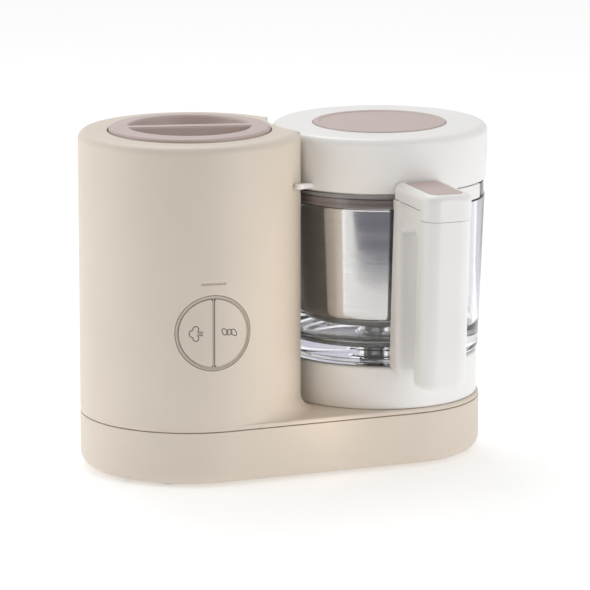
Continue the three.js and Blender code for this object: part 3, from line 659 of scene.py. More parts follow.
def housing_rings():
    """Rings from the outer seam over the deck, up the wall, into the cap pocket and back down inside."""
    outline = tower_outline()
    share = bayness()
    rings = []

    def ring(z, reach):
        """Adds a ring in the outline's directions, as far out as reach gives for each angle and wall distance."""
        points = []
        for x, y in outline:
            angle = atan2(y, x)
            far = reach(angle, hypot(x, y))
            points.append((far * cos(angle), far * sin(angle), z))
        rings.append(points)

    ring(SEAM_Z, lambda a, r: base_reach(a, SEAM_INSET))
    ring(SEAM_Z + 0.4, lambda a, r: base_reach(a, DECK_INSET))
    for inward, up in quarter(range(0, 91, 15)):
        ring(DECK_Z - DECK_EDGE + DECK_EDGE * up, lambda a, r: ledge(a, r, DECK_EDGE * inward, FLARE))
    flares = [FLARE + (BAY_FLARE - FLARE) * s for s in share]
    for inward, up in quarter(7.5 * k for k in range(13)):
        points = []
        for (x, y), flare in zip(outline, flares):
            angle = atan2(y, x)
            far = ledge(angle, hypot(x, y), -flare * (1 - up) - 1e-6, flare)
            points.append((far * cos(angle), far * sin(angle), DECK_Z + flare * inward))
        rings.append(points)
    for z in (DECK_Z + 20, *PLAIN_RINGS):
        rings.append(level(outline, z))
    for inward, up in quarter(range(0, 91, 10)):
        edge = tower_outline(TOWER_EDGE * inward, BAY_EDGE * inward)
        rings.append([
            (x, y, TOWER_TOP - (TOWER_EDGE + (BAY_EDGE - TOWER_EDGE) * s) * (1 - up))
            for (x, y), s in zip(edge, share)
        ])
    hole, step_z, roof_z = CAP_R + 0.8, 247, TOWER_TOP - WALL
    for reach, z in (
        (hole + 0.4, TOWER_TOP), (hole + 0.1, TOWER_TOP - 0.15), (hole, TOWER_TOP - 0.5), (hole, step_z),
        (POCKET_R, step_z), (POCKET_R, POCKET_Z), (MOUTH_R + 0.5, POCKET_Z), (MOUTH_R, POCKET_Z - 0.5),
        (MOUTH_R, POCKET_Z - 3), (ROOF_R, POCKET_Z - 3), (ROOF_R, roof_z),
    ):
        ring(z, lambda a, r: reach)
    for z in (roof_z, DECK_Z - WALL):
        ring(z, lambda a, r: r - WALL)
    rim_z = SHELL_TOP - 4.7
    for inset, z in ((WALL + 2.7, DECK_Z - WALL), (WALL + 2.7, rim_z), (WALL + 0.5, rim_z), (WALL + 0.5, SEAM_Z)):
        ring(z, lambda a, r: base_reach(a, inset))
    return rings


def upper_housing():
    """Deck, tower and bay, with the openings for buttons, lamp, steam outlet and motor."""
    shell = skin(housing_rings(), ring_loop=True)
    control = along_y(rod(BEZEL_R + 0.4, 60, 100, 96))
    half = LENS_HALF - 0.05
    slot = along_y(prism(round_rect(9.2, half, -half, half * 0.9, half * 0.9, 9.0), 70, 100))
    port = shifted(along_x(rod(6.4, 50, 80)), z=STEAM_Z)
    motor = shifted(rod(MOTOR_HOLE_R, SHELL_TOP - 12, DECK_Z + 3, 96), AXIS_GAP)
    openings = [turned_z(shifted(tool, z=z), BUTTON_TURN) for tool, z in ((control, CONTROL_Z), (slot, LENS_Z))]
    return at(TOWER, cut(shell, *openings, port, motor))


settle(upper_housing(), "upper_housing_moulding", "base", beige, "upper_housing")

# -------- filling cap and tank mouth

FLANGE_Z, FLANGE_TOP = 233.5, 237.1  # the tank neck's screwed flange
TANK_R = 43.4  # inner radius of the boiler, outer radius of the neck's spigot
NECK_R = 38.4


def cap_moon(side):
    """The tool for one half-moon recess of the cap: sloping walls, a soft floor corner and a soft lip."""
    reach, chord = 45.5, 4.6
    floor_z, lip_z, above = CAP_TOP - 9.5, CAP_TOP - 2.2, CAP_TOP + 2
    profile = [(3.9, floor_z), (2.4, floor_z + 0.45), (1.5, floor_z + 1.5), (0.55, lip_z)]
    profile += [(0.55 - 1.15 * inward, lip_z + 1.7 * up) for inward, up in quarter((30, 50, 68, 82))]
    profile.append((-1.4, above))
    levels = []
    for inset, z in profile:
        r, y = reach - inset, chord + inset
        end = degrees(asin(y / r))
        corner = 1.2 if inset < 3 else 2.0
        curve = arc(0, 0, r, end + 1.6 * corner, 180 - end - 1.6 * corner, 60)
        half = sqrt(r * r - y * y)
        tip = soft([(half - 6, y), (half, y, corner * 0.35), (half - 1.5, y + 4)], closed=False, step=15)
        right = [tip[1], tip[len(tip) // 2], tip[-2]]
        left = [(-x, v) for x, v in reversed(right)]
        outline = [(-half + 8, y), (0, y), (half - 8, y), *right, *curve, *left]
        levels.append(([(x, side * v) for x, v in outline], z))
    return turned_z(stack(levels, y=side * 24), CAP_BAR_TURN)


def tank_cap():
    """The filling cap: a round dish that leaves a grip bar between its two half moons."""
    seat, rim, rim_z = 51.0, CAP_R - 0.2, CAP_Z + 4.4
    body = spin([
        (0, CAP_Z), (seat, CAP_Z, 0.4), (seat, rim_z, 0.3), (rim, rim_z, 0.5), (rim, CAP_TOP - 0.5, 2.6),
        (CAP_R - 9, CAP_TOP - 0.1, 4), (0, CAP_TOP),
    ], MANY_SIDES)
    return at(TOWER, cut(body, cap_moon(1), cap_moon(-1)))


def cap_plug():
    """The cap's hollow plug."""
    radius, low, high = extent("tank_cap_plug")
    bore, roof = radius - 2.6, high - 3.4
    return at(TOWER, spin([(0, high), (radius, high, 0.4), (radius, low, 0.8), (bore, low, 0.8), (bore, roof, 1.5),
                           (0, roof)]))


def round_seal(node, inner):
    """A seal ring with two lips pressed into its outside."""
    radius, low, high = extent(node)
    return at(axis_of(node), spin([
        (inner, low, 0.4), (radius, low, 0.5), (radius - 0.5, (low + high) / 2, 0.3), (radius, high, 0.5),
        (inner, high, 0.4),
    ]))


def tank_neck():
    """The boiler's neck: a spigot with a flange that three screws hold."""
    low, high = heights("tank_neck")
    neck = spin([
        (NECK_R, low, 0.5), (42, low, 0.5), (42, FLANGE_Z), (57, FLANGE_Z, 0.4), (57, FLANGE_TOP, 0.4),
        (TANK_R, FLANGE_TOP), (TANK_R, high, 0.7), (NECK_R, high, 0.9),
    ])
    holes = [at(axis_of(f"neck_screw_{i}") - TOWER, rod(1.8, 230, 240, 24)) for i in range(1, 4)]
    return at(TOWER, cut(neck, *holes))


def boiler():
    """The boiler: a spun pot with a rolled rim and a hole for the steam."""
    radius, low, high = extent("boiler_tank")
    outer, rim_z, floor_z = 46, high - 4.1, low + 2.6
    pot = spin([
        (0, low), (outer, low, 6), (outer, rim_z), (radius, rim_z), (radius, high, 0.4), (TANK_R, high, 0.4),
        (TANK_R, floor_z, 4.4), (0, floor_z),
    ])
    return at(TOWER, cut(pot, shifted(along_x(rod(1.6, 40, 50, 24)), z=205)))


settle(tank_cap(), "filling_cap", "cap", mauve, "tank_cap")
settle(cap_plug(), "filling_cap_plug", "cap", inner_white, "tank_cap_plug")
settle(round_seal("tank_cap_seal", 45), "filling_cap_seal", "cap_seal", silicone, "tank_cap_seal")
settle(tank_neck(), "tank_neck_ring", "base", inner_white, "tank_neck")
settle(boiler(), "boiler_shell", "base", aluminium, "boiler_tank")

# -------- buttons and lamp

BUTTON_R = BEZEL_R - 2.6
ICON_LINE = 0.34


def on_wall(x, depth=0.0):
    """The tower wall's y at a sideways place x, sunk by a depth."""
    return -sqrt((TOWER_R - depth) ** 2 - x * x)


def controls_at(made):
    return at(TOWER, turned_z(made, BUTTON_TURN))


def wall_tile(outline, crown, edge, sink, thickness):
    """A tile over an outline of [x, z] points that follows the tower wall, with a rounded edge."""
    middle_x = sum(p[0] for p in outline) / len(outline)
    middle_z = sum(p[1] for p in outline) / len(outline)
    size = max(hypot(x - middle_x, z - middle_z) for x, z in outline)

    def ring(inset, depth):
        share = 1 - inset / size
        points = []
        for x, z in outline:
            px, pz = middle_x + (x - middle_x) * share, middle_z + (z - middle_z) * share
            points.append((px, on_wall(px, depth), pz))
        return points

    rings = [ring(0, thickness), ring(0, sink + edge)]
    rings += [ring(edge * inward, sink + edge * (1 - up)) for inward, up in quarter((22, 45, 68, 90))]
    for step in range(1, 8):
        share = step / 8
        rings.append(ring(edge + (size - edge) * share, sink - crown * share))
    return skin(rings, first=(middle_x, on_wall(middle_x, thickness), middle_z),
                last=(middle_x, on_wall(middle_x, sink - crown), middle_z))


def half_moon(side):
    """One half of the round button, with its push stem."""
    gap = 0.8
    end = degrees(acos(gap / BUTTON_R))
    curve = arc(0, 0, BUTTON_R, -end + 2, end - 2, 56)
    straight = [(gap, BUTTON_R * 0.94 - k * BUTTON_R * 1.88 / 20) for k in range(21)]
    outline = [(side * x, CONTROL_Z + z) for x, z in curve + straight]
    tile = wall_tile(outline, 0.12, 0.7, 0.1, 4.3)
    stem = shifted(along_y(rod(3, 70, 79, 32)), x=side * 12, z=CONTROL_Z)
    return controls_at(join(tile, stem))


def bezel():
    """The ring round the buttons, with a soft bead at its rim and a groove wall inside, and the bar across it."""
    inner, sides, back = BUTTON_R, 128, 7.6
    rings = []
    for radius, depth in (
        (inner + 0.3, back), (inner + 0.3, 1.15), (inner + 1.25, 1.05), (inner + 1.5, 0.75), (inner + 1.65, 0.32),
        (inner + 1.95, 0.1), (BEZEL_R - 0.2, 0.14), (BEZEL_R, 0.4), (BEZEL_R, back),
    ):
        ring = []
        for k in range(sides):
            a = 2 * pi * k / sides
            x = radius * cos(a)
            ring.append((x, on_wall(x, depth), CONTROL_Z + radius * sin(a)))
        rings.append(ring)
    front = -TOWER_R + 0.95
    ring = skin(rings, ring_loop=True)
    divider = block(-0.5, 0.5, front, front + 5, CONTROL_Z - inner - 0.8, CONTROL_Z + inner + 0.8, 0.2)
    return controls_at(join(ring, divider))


def stroke(points, closed=False, sides=8):
    """A thin printed line on a button face, as a closed tube with flat ends through [x, z] points."""
    path = [Vector((x, on_wall(x, 0.02), z)) for x, z in points]
    count = len(path)
    rings = []
    for i, here in enumerate(path):
        before = path[(i - 1) % count] if closed or i else here
        after = path[(i + 1) % count] if closed or i < count - 1 else here
        ahead = (after - before).normalized()
        out = Vector((here.x, here.y, 0)).normalized()
        side = ahead.cross(out).normalized()
        rings.append([
            tuple(here + ICON_LINE * (cos(a) * side + 0.45 * sin(a) * out))
            for a in (2 * pi * k / sides for k in range(sides))
        ])
    if closed:
        return skin(rings, ring_loop=True)
    return skin(rings, first=tuple(path[0]), last=tuple(path[-1]))


def steam_icon():
    """A puff of steam with three short dashes beside it."""
    x0, z0 = -13.4, CONTROL_Z
    puff = arc(x0 + 0.2, z0 + 3.4, 2.1, -50, 190, 14) + arc(x0 - 2.0, z0, 2.6, 105, 255, 12)
    puff += arc(x0 + 0.2, z0 - 3.4, 2.1, 170, 410, 14)
    dashes = [stroke([(x0 + 1.3 + 0.5 * k, z0 + 1.35 * row) for k in range(9)]) for row in (-1, 0, 1)]
    return controls_at(merged([stroke(puff), *dashes]))


def petal(x0, z0, length, width, turn):
    """A closed leaf outline about a middle, its long axis turned by an angle in degrees."""
    a = radians(turn)
    points = []
    for k in range(22):
        t = 2 * pi * k / 22
        along, across = length * cos(t), width * sin(t) * (1 - 0.25 * cos(t))
        points.append((x0 + along * cos(a) - across * sin(a), z0 + along * sin(a) + across * cos(a)))
    return points


def blend_icon():
    """Three cut pieces of food in a row: a round one between two longer ones."""
    x0, z0 = 11.6, CONTROL_Z + 0.2
    outlines = [
        arc(x0, z0, 2.1, 0, 345, 24),
        petal(x0 - 3.5, z0 + 0.6, 2.7, 1.9, 130),
        petal(x0 + 3.5, z0 - 0.6, 2.9, 1.8, -50),
    ]
    return controls_at(merged([stroke(outline, closed=True) for outline in outlines]))


def lamp_lens():
    """The lamp window: a slim bar with round ends, its long sides divided to follow the wall."""
    half, width = LENS_HALF - 0.2, 8.9
    outline = round_rect(width, LENS_Z + half, LENS_Z - half, half * 0.9, half * 0.9, 9.0)
    dense = []
    for i, (x, z) in enumerate(outline):
        nx, nz = outline[(i + 1) % len(outline)]
        steps = max(1, round(abs(nx - x) / 2))
        dense += [(x + (nx - x) * k / steps, z + (nz - z) * k / steps) for k in range(steps)]
    return controls_at(wall_tile(dense, 0, 0.2, 0.35, 4))


settle(bezel(), "control_ring", "base", ring_beige, "control_bezel")
settle(half_moon(-1), "steam_half_button", "steam_key", key_beige, "steam_button")
settle(half_moon(1), "blend_half_button", "blend_key", key_beige, "blend_button")
settle(steam_icon(), "steam_icon", "steam_key", ink, weighted=False)
settle(blend_icon(), "blend_icon", "blend_key", ink, weighted=False)
settle(lamp_lens(), "lamp_window", "base", lamp, "indicator_lens")

# -------- stand under the jug


def stand():
    """The stand: a soft upper edge with a groove in its top, and a well for the coupling."""
    well, floor_z, bore = 33.0, 69.0, 11.6
    groove_z, roof_z, inner = STAND_TOP - 0.8, STAND_TOP - 3.6, STAND_R - 3
    return at(JUG, spin([
        (STAND_R - 0.5, STAND_Z, 0.2), (STAND_R, STAND_Z + 1.0, 1.0), (STAND_R, STAND_TOP, 2.5),
        (STAND_R - 6.5, STAND_TOP, 0.4), (STAND_R - 7.1, groove_z, 0.4), (STAND_R - 12.5, groove_z, 0.4),
        (STAND_R - 13.1, STAND_TOP, 0.4), (well, STAND_TOP, 1.6), (well, floor_z, 2.0), (bore, floor_z, 0.8),
        (bore, floor_z - 3, 0.3), (well + 3, floor_z - 3, 1), (well + 3, roof_z, 1), (inner, roof_z, 2),
        (inner, STAND_Z, 0.2),
    ], MANY_SIDES))


settle(stand(), "jug_stand", "base", white, "pedestal")

# -------- glass bowl with blade

BOWL_FLOOR = 91.0
SEAT_Z = 84  # top of the recess under the bowl
BORE_R = 9.6  # the hole for the blade bearing


def bowl():
    """The glass jug: a thick foot, a slightly wider neck for the lid and a hole for the blade bearing."""
    return at(JUG, spin([
        (58, BOWL_Z + 0.7, 1.0), (61, BOWL_Z, 1.0), (72.4, BOWL_Z, 1.6), (75.0, BOWL_Z + 2.6, 3.0),
        (BOWL_R, NECK_Z - 1, 1.2), (78.5, NECK_Z + 1, 0.8), (78.5, BOWL_TOP, 1.3), (75.4, BOWL_TOP, 1.3),
        (75.4, NECK_Z - 1.2, 0.5), (73.1, NECK_Z - 1.2, 0.8), (70.8, BOWL_FLOOR, 11), (15.5, BOWL_FLOOR, 2.0),
        (14.2, BOWL_FLOOR - 1.0, 0.6), (BORE_R, BOWL_FLOOR - 1.0, 0.4), (BORE_R, SEAT_Z, 0.4),
        (16.5, SEAT_Z, 0.5), (17.5, SEAT_Z - 0.8, 1.0), (57, SEAT_Z - 2.2, 1),
    ], MANY_SIDES, step=6))


def blade_bearing():
    """The steel bush in the bowl's floor that the blade's shaft turns in."""
    low, high = heights("blade_bearing")
    shoulder = high - 4.1
    return at(JUG, spin([(4.4, low), (9.2, low, 0.4), (9.2, shoulder, 0.1), (13.5, shoulder, 0.5), (12.5, high, 1.2),
                         (6, high, 0.8), (4.4, high - 1.2)], 96))


def hex_nut():
    """The nut that holds the bearing: a hexagon with turned-down corners."""
    low, high = heights("bearing_nut")
    hexagon = prism([(15 * cos(radians(60 * k)), 15 * sin(radians(60 * k))) for k in range(6)], low, high)
    dome = lathe([(0, low), (13.2, low), (15.2, low + 1.1), (15.2, high - 1.1), (13.2, high), (0, high)], 96)
    return at(JUG, cut(boolean(hexagon, [dome], "INTERSECT"), rod(9.7, low - 1, high + 1, 64)))


def wing(turn, rise, curl, z):
    """One wing of the blade: a ground sickle shape, thin at its leading edge, curled at its tip."""
    root, length, length_pieces = 3, 39.8, 26
    rings = []
    for k in range(length_pieces + 1):
        share = k / length_pieces
        x = root + length * share
        lead = -6.5 - 3.2 * sin(pi * min(1, share * 1.1)) + 9.0 * share**2.2
        trail = 6.5 + 1.2 * sin(pi * share) - 3.6 * share**2
        lift = rise * share**1.5 + curl * max(0.0, share - 0.55) ** 2
        width = max(trail - lead, 1.2)
        under = [(0.0, 0.75), (0.08, 0.42), (0.22, 0.0), (0.6, 0.0), (1.0, 0.0)]
        over = [(1.0, 1.6), (0.6, 1.6), (0.22, 1.6), (0.08, 1.15)]
        rings.append([(x, lead + width * across, z + lift + height) for across, height in under + over])
    made = skin(rings, first=(root, 0, z + 0.8), last=(42.9, rings[-1][2][1], rings[-1][2][2] + 0.8))
    return turned_z(made, turn)


def blade():
    """The blade: a hub with one raised and one flat wing."""
    low, high = heights("blade")
    shaft, head, head_z = 3.9, 7, 96.2
    hub = spin([(0, low), (shaft, low, 0.4), (shaft, head_z), (head, head_z, 0.5), (head, high - 2, 0.8),
                (4, high, 1.0), (0, high)], 64)
    return at(JUG, join(hub, wing(0, 1.4, 12, 98.4), wing(pi, -0.6, 0, 98.1)))


def driven_coupling():
    """The cup under the bowl, with ribs that the motor's dogs take hold of."""
    low, high = heights("driven_coupling")
    roof, inner, outer = high - 3, 12.4, 16.5
    cup = spin([(0, roof), (inner, roof, 0.5), (inner, low, 0.4), (outer, low, 0.6), (outer, high, 1), (0, high)], 72)
    ribs = around(3, lambda: block(9.4, 13.6, -1.8, 1.8, low + 0.2, high - 1, 0.5), 0.5)
    return at(JUG, join(cup, *ribs))


def drive_coupling():
    """The motor's coupling: a hub with three dogs."""
    low, high = heights("drive_coupling")
    hub = spin([(4.4, low), (8.5, low, 0.4), (8.5, high, 1.0), (4.4, high, 0.6)], 64)
    return at(JUG, join(hub, *around(3, lambda: block(7, 11, -1.8, 1.8, 70, high - 0.4, 0.7))))


settle(bowl(), "glass_jug", "bowl", glass, "glass_bowl", weighted=False)
settle(blade_bearing(), "blade_bearing_steel", "bowl", turned_steel, "blade_bearing")
settle(hex_nut(), "bearing_nut_steel", "bowl", turned_steel, "bearing_nut")
settle(blade(), "blade_steel", "blade_unit", blade_steel, "blade")
settle(driven_coupling(), "driven_coupling_cup", "blade_unit", black, "driven_coupling")
settle(drive_coupling(), "drive_coupling_dogs", "rotor", black, "drive_coupling")

# -------- steam basket


def steam_basket():
    """The steam basket: thin steel with a turned-out rim and three rings of slots in its floor."""
    low, high = heights("steam_basket")
    sheet_z, rim_z, rim = low + 1.2, high - 1.2, 71.2
    pot = spin([
        (0, low), (64.2, low, 12), (67.4, rim_z, 0.5), (rim, rim_z, 0.3), (rim, high, 0.3), (66.2, high, 0.6),
        (63.0, sheet_z, 10.8), (0, sheet_z),
    ], MANY_SIDES, step=5)
    slots = []
    for ring_r, count, half, start in ((16, 8, 4.5, 0), (29, 14, 5.0, 0.5), (43, 20, 5.0, 0)):
        slots += around(count, lambda: block(ring_r - half, ring_r + half, -1.3, 1.3, low - 3, low + 5, 1.25), start)
    return at(JUG, cut(pot, merged(slots)))


def basket_rim():
    """The basket's rim band: two steps outside with a fine groove between them."""
    radius, low, high = extent("basket_rim")
    bore, waist, upper, shelf = 71.8, radius - 0.7, radius - 0.2, low + 1.9
    return at(JUG, spin([
        (bore, low, 0.3), (radius, low, 0.5), (radius, low + 3.4, 0.3), (waist, low + 3.8, 0.2),
        (waist, low + 5.0, 0.2), (upper, low + 5.3, 0.2), (upper, high, 0.8), (67.6, high, 0.8),
        (67, high - 1, 0.5), (67, shelf, 0.3), (bore, shelf, 0.2),
    ]))


settle(steam_basket(), "steam_basket_steel", "basket", basket_steel, "steam_basket")
settle(basket_rim(), "basket_rim_band", "basket", mauve, "basket_rim")

# -------- lid

EAR_ROOT = Vector((-70.4, -38.6))
EAR_TIP = Vector((-84.6, -57.6))
DUCT_X, DUCT_HALF = -65.0, 4.5
PLATE_Z, PLATE_TOP = LID_TOP - 5.2, LID_TOP - 2.8  # the lid's top wall under its round plate


def lid_ear():
    """The stop ear: a short bar with a round end and soft edges that rises towards its tip."""
    reach = EAR_TIP - EAR_ROOT
    half, thick, edge, rise = 3.6, 4.2, 1.5, 3.4
    lower = [(edge * (1 - up), edge * inward) for inward, up in quarter((0, 30, 60, 90))]
    rings = []
    for inset, height in lower + [(inset, thick - height) for inset, height in reversed(lower)]:
        r = half - inset
        outline = [(0, -r), *arc(reach.length, 0, r, -90, 90, 16), (0, r)]
        rings.append([(x, y, height + rise * (x / reach.length - 0.5)) for x, y in outline])
    bar = skin(rings, first=(reach.length / 2, 0, 0), last=(reach.length / 2, 0, thick))
    turned_z(bar, atan2(reach.y, reach.x))
    return shifted(bar, EAR_ROOT.x, EAR_ROOT.y, LID_Z + 2.5)


def lid_shell():
    """The lid: a round cover with a seat for its plate, the steam port and the stop ear."""
    inner, seat = 78.3, DISC_R + 0.4
    shell = spin([
        (0, PLATE_Z), (75, PLATE_Z), (inner, LID_TOP - 8.4), (inner, STEAM_Z), (77.6, LID_Z, 0.3),
        (80.2, LID_Z, 0.8), (LID_R, STEAM_Z, 60), (LID_R, LID_TOP, 6), (seat, LID_TOP, 0.35), (seat, PLATE_TOP),
        (0, PLATE_TOP),
    ], MANY_SIDES, step=7)
    port = shifted(along_x(rod(6.5, -90, -70)), z=STEAM_Z)
    ear = cut(lid_ear(), rod(79, 200, 220, 120))
    return at(JUG, join(cut(shell, port), ear))


def steam_drop():
    """The upright part of the steam duct, as a tool."""
    return block(DUCT_X - DUCT_HALF, DUCT_X + DUCT_HALF, -DUCT_HALF, DUCT_HALF, 200, STEAM_Z + DUCT_HALF, 1.2)


def lid_liner():
    """The liner: a plug skirt, stiffening ribs and the hole that lets the steam down."""
    low = heights("lid_liner")[0]
    plate, flange, top = LID_Z + 0.6, LID_Z + 0.3, LID_Z + 3
    skirt = spin([
        (0, plate), (70, plate, 1.0), (70, low, 0.5), (72.7, low, 0.8), (72.7, flange, 0.3), (77, flange, 0.3),
        (77, top, 0.3), (0, top),
    ], 180)
    ribs = [lathe([(r, plate - 1.2), (r + 1.2, plate - 1.2), (r + 1.2, plate + 0.5), (r, plate + 0.5)], 120)
            for r in (28, 46)]
    return at(JUG, cut(join(skirt, *ribs), steam_drop()))


def lid_elbow():
    """The elbow on the liner that takes the steam in sideways and turns it down."""
    low, high = corners("lid_elbow")
    x0, x1, half = low.x - JUG.x, high.x - JUG.x, (high.y - low.y) / 2
    body = block(x0, x1, -half, half, low.z, high.z, 2.5)
    inlet = block(x0 - 4, DUCT_X, -DUCT_HALF, DUCT_HALF, STEAM_Z - DUCT_HALF, STEAM_Z + DUCT_HALF)
    return at(JUG, cut(body, inlet, steam_drop()))


def lid_disc():
    """The round plate in the lid: a raised rim with a soft edge round a flat field."""
    field = DISC_TOP - 0.7
    return at(JUG, spin([
        (0, DISC_Z), (DISC_R, DISC_Z, 0.2), (DISC_R, DISC_TOP - 0.1, 0.75), (DISC_R - 4.2, DISC_TOP, 0.8),
        (DISC_R - 5.0, field, 0.6), (0, field),
    ], MANY_SIDES, step=6))


settle(lid_shell(), "lid_shell_moulding", "lid", white, "lid_shell")
settle(lid_liner(), "lid_liner_moulding", "lid", inner_white, "lid_liner")
settle(lid_elbow(), "lid_elbow_moulding", "lid", inner_white, "lid_elbow")
settle(round_seal("lid_seal", 73.1), "lid_seal_ring", "lid_ring", silicone, "lid_seal")
settle(lid_disc(), "lid_plate", "lid", mauve, "lid_disc")

# -------- handle

HANDLE_TOP = 218.0
HANDLE_SEAM = 205.5  # between the head cap and the pieces under it
HANDLE_FOOT = heights("handle_grip")[0]
STRAP_FOOT = HANDLE_FOOT + 3
STRAP_FACE = 88.0
GRIP_HALF = 18.5
GRIP_FRONT = 143.0
GRIP_DEPTH = 22.0
LIP_Y = -128.7  # back of the head cap's front lip
SCREW_X = 9.0
SCREW_Z = upright("handle_screw_1")[0]
POCKET = (12.6, -83.0, -137.0)  # half width, back and front of the release button's pocket
HEAD_Y = -110  # about the middle of the handle's head


def handle_at(made):
    return at(JUG, turned_z(made, HANDLE_TURN))


def handle_bores(make):
    """A tool for each of the two handle screws."""
    return [shifted(along_y(make()), x=side * SCREW_X, z=SCREW_Z) for side in (-1, 1)]


def handle_frame():
    """The strap down the glass with the collar that holds part of the glass neck."""
    collar_low, collar_high = NECK_Z + 0.9, LID_Z - 0.4
    inner, outer = 79.0, 80.9
    section = soft([(inner, collar_low, 0.3), (outer, collar_low, 0.6), (outer, collar_high, 0.6),
                    (inner, collar_high, 0.3)], step=30)
    turns = [radians(-100 + 56 * k / 36) for k in range(37)]
    rings = [[(r * cos(a), r * sin(a), z) for r, z in section] for a in turns]
    middle_r, middle_z = (inner + outer) / 2, (collar_low + collar_high) / 2
    ends = [(middle_r * cos(a), middle_r * sin(a), middle_z) for a in (turns[0], turns[-1])]
    collar = skin(rings, first=ends[0], last=ends[1])
    strap_top = HANDLE_SEAM - 0.4
    profile = [*arc(6.0, STRAP_FOOT + 6.0, 6.0, -96, -180, 8), (0.0, 110.0), (1.0, strap_top)]
    strap = stack([(round_rect(19.9 - inset, -70, -STRAP_FACE + inset * 0.4, 1, 5.5), z) for inset, z in profile],
                  y=-80, ends=(STRAP_FOOT, strap_top))
    room = lathe([(0, 60), (75.6, 60), (75.6, BOWL_Z + 2.3), (80.0, NECK_Z), (79, NECK_Z + 0.9), (79, 215),
                  (0, 215)], MANY_SIDES)
    bore = [(0, 70), (3.6, 70), (3.6, 82.6), (1.9, 82.6), (1.9, 100), (0, 100)]
    return handle_at(cut(join(strap, collar), room, *handle_bores(lambda: lathe(bore, 32))))


def grip_lean(z):
    """How far the grip's front has come back at a height."""
    return 8 * (HANDLE_SEAM - z) / (HANDLE_SEAM - HANDLE_FOOT)


def finger_tool():
    """The tool for the finger room: an arch between strap and column whose lips flare for soft edges."""
    flare, top, side = 5.0, 190.0, GRIP_HALF + 0.1
    back, front = -STRAP_FACE + 1.2, -GRIP_FRONT + GRIP_DEPTH
    stations = [-24.0, -side, *[-side + flare * sin(radians(a)) for a in (12, 24, 36, 48, 60, 75, 90)]]
    stations += [-x for x in reversed(stations)]
    rings = []
    for x in stations:
        into = min(1.0, (side - abs(x)) / flare)
        grow = flare * (1 - sqrt(1 - (1 - into) ** 2)) if into > 0 else flare
        high_y = front + grip_lean(top) - grow
        low_y = front + grip_lean(HANDLE_FOOT) - grow
        outline = soft([
            (back, HANDLE_FOOT - 12), (back, top + grow, 15), (high_y, top + grow, 13 + grow * 0.6),
            (low_y, HANDLE_FOOT + 4, 4), (low_y - 5, HANDLE_FOOT - 1), (low_y - 5, HANDLE_FOOT - 12),
        ], step=6)
        rings.append([(x, y, z) for y, z in outline])
    return skin(rings, first=(stations[0], -100, 120), last=(stations[-1], -100, 120))


def handle_grip():
    """The grip: one block from strap to front with a round nose, less the finger room."""
    foot_edge, lip, back = 5.0, HANDLE_SEAM - 7.2, -STRAP_FACE - 0.4
    profile = [(foot_edge * (1 - up), HANDLE_FOOT + foot_edge * inward)
               for inward, up in quarter((20, 35, 50, 65, 78, 90))]
    profile += [(0.0, z) for z in (100, 130, 160, 185, lip)]
    levels = []
    for inset, z in profile:
        front = -GRIP_FRONT + grip_lean(z) + inset
        levels.append((round_rect(GRIP_HALF - inset, back, front, 0.4, 11.5 - inset * 0.5), z))
    column = stack(levels, y=-115, ends=(HANDLE_FOOT, lip))
    head = block(-GRIP_HALF, GRIP_HALF, -128.0, back, HANDLE_SEAM - 8, HANDLE_SEAM - 0.4, 0.4)
    return handle_at(cut(join(column, head), finger_tool(), *handle_bores(lambda: rod(1.7, 80, 108, 24))))


def handle_cap():
    """The cap over the handle's head, with its front lip and the pocket for the release button."""
    edge, lip = 5.5, HANDLE_SEAM - 6.8
    profile = [(0.35, lip), (0.0, lip + 0.35)]
    profile += [(edge * inward, HANDLE_TOP - edge + edge * up) for inward, up in quarter(range(0, 91, 9))]
    outside = stack([
        (round_rect(GRIP_HALF + 0.4 - inset, -76 - inset * 0.2, -GRIP_FRONT - 0.3 + inset, 2, 11.5 - inset * 0.55), z)
        for inset, z in profile
    ], y=HEAD_Y)
    below = block(-40, 40, LIP_Y, -60, 190, HANDLE_SEAM + 0.4)
    lid_room = rod(LID_R + 0.8, 190, 230, MANY_SIDES)
    half, back, front = POCKET
    pocket = stack([
        (round_rect(half + grow, back + grow, front - grow, back_edge, front_edge), HANDLE_TOP + rise)
        for grow, back_edge, front_edge, rise in (
            (0, 1, 5.5, -6), (0, 1, 5.5, -0.5), (0.2, 1.2, 5.7, -0.1), (0.6, 1.5, 6.0, 0.2), (0.6, 1.5, 6.0, 2))
    ], y=HEAD_Y)
    return handle_at(cut(outside, below, lid_room, pocket))


def release_button():
    """The release plate in the head cap's pocket."""
    low, high = heights("release_button")
    half, back, front = POCKET
    gap, edge = 0.4, 0.6
    profile = [(0.8, low), (gap, low + 0.4), (gap, high - edge)]
    profile += [(gap + edge * inward, high - edge + edge * up) for inward, up in quarter((30, 60, 90))]
    return handle_at(stack([
        (round_rect(half - inset, back - inset, front + inset, 0.8, 5.0 - inset * 0.5), z) for inset, z in profile
    ], y=HEAD_Y))


settle(handle_frame(), "handle_strap", "bowl", white, "handle_frame")
settle(handle_grip(), "handle_grip_moulding", "bowl", white, "handle_grip")
settle(handle_cap(), "handle_head_cap", "bowl", white, "handle_cap")
settle(release_button(), "release_plate", "release", mauve, "release_button")

# -------- CAD nodes that stay, with their materials

KEPT = {
    black: ["thermostat", "steam_switch", "blend_switch", "cooling_fan"],
    silicone: ["steam_tube", "steam_outlet_seal"],
    inner_white: ["steam_outlet"],
    board: ["power_board", "control_board"],
    brass: ["motor_bearing_bottom", "motor_bearing_top"],
    aluminium: ["heater_plate"],
    turned_steel: ["heating_element", "motor_can", "motor_bracket", "motor_rotor", "neck_screw_1", "neck_screw_2",
                   "neck_screw_3", "handle_screw_1", "handle_screw_2"],
}
for kept_finish, kept_nodes in KEPT.items():
    for kept_node in kept_nodes:
        dress(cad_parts[kept_node], kept_finish)

# -------- stage, light and camera, in metres

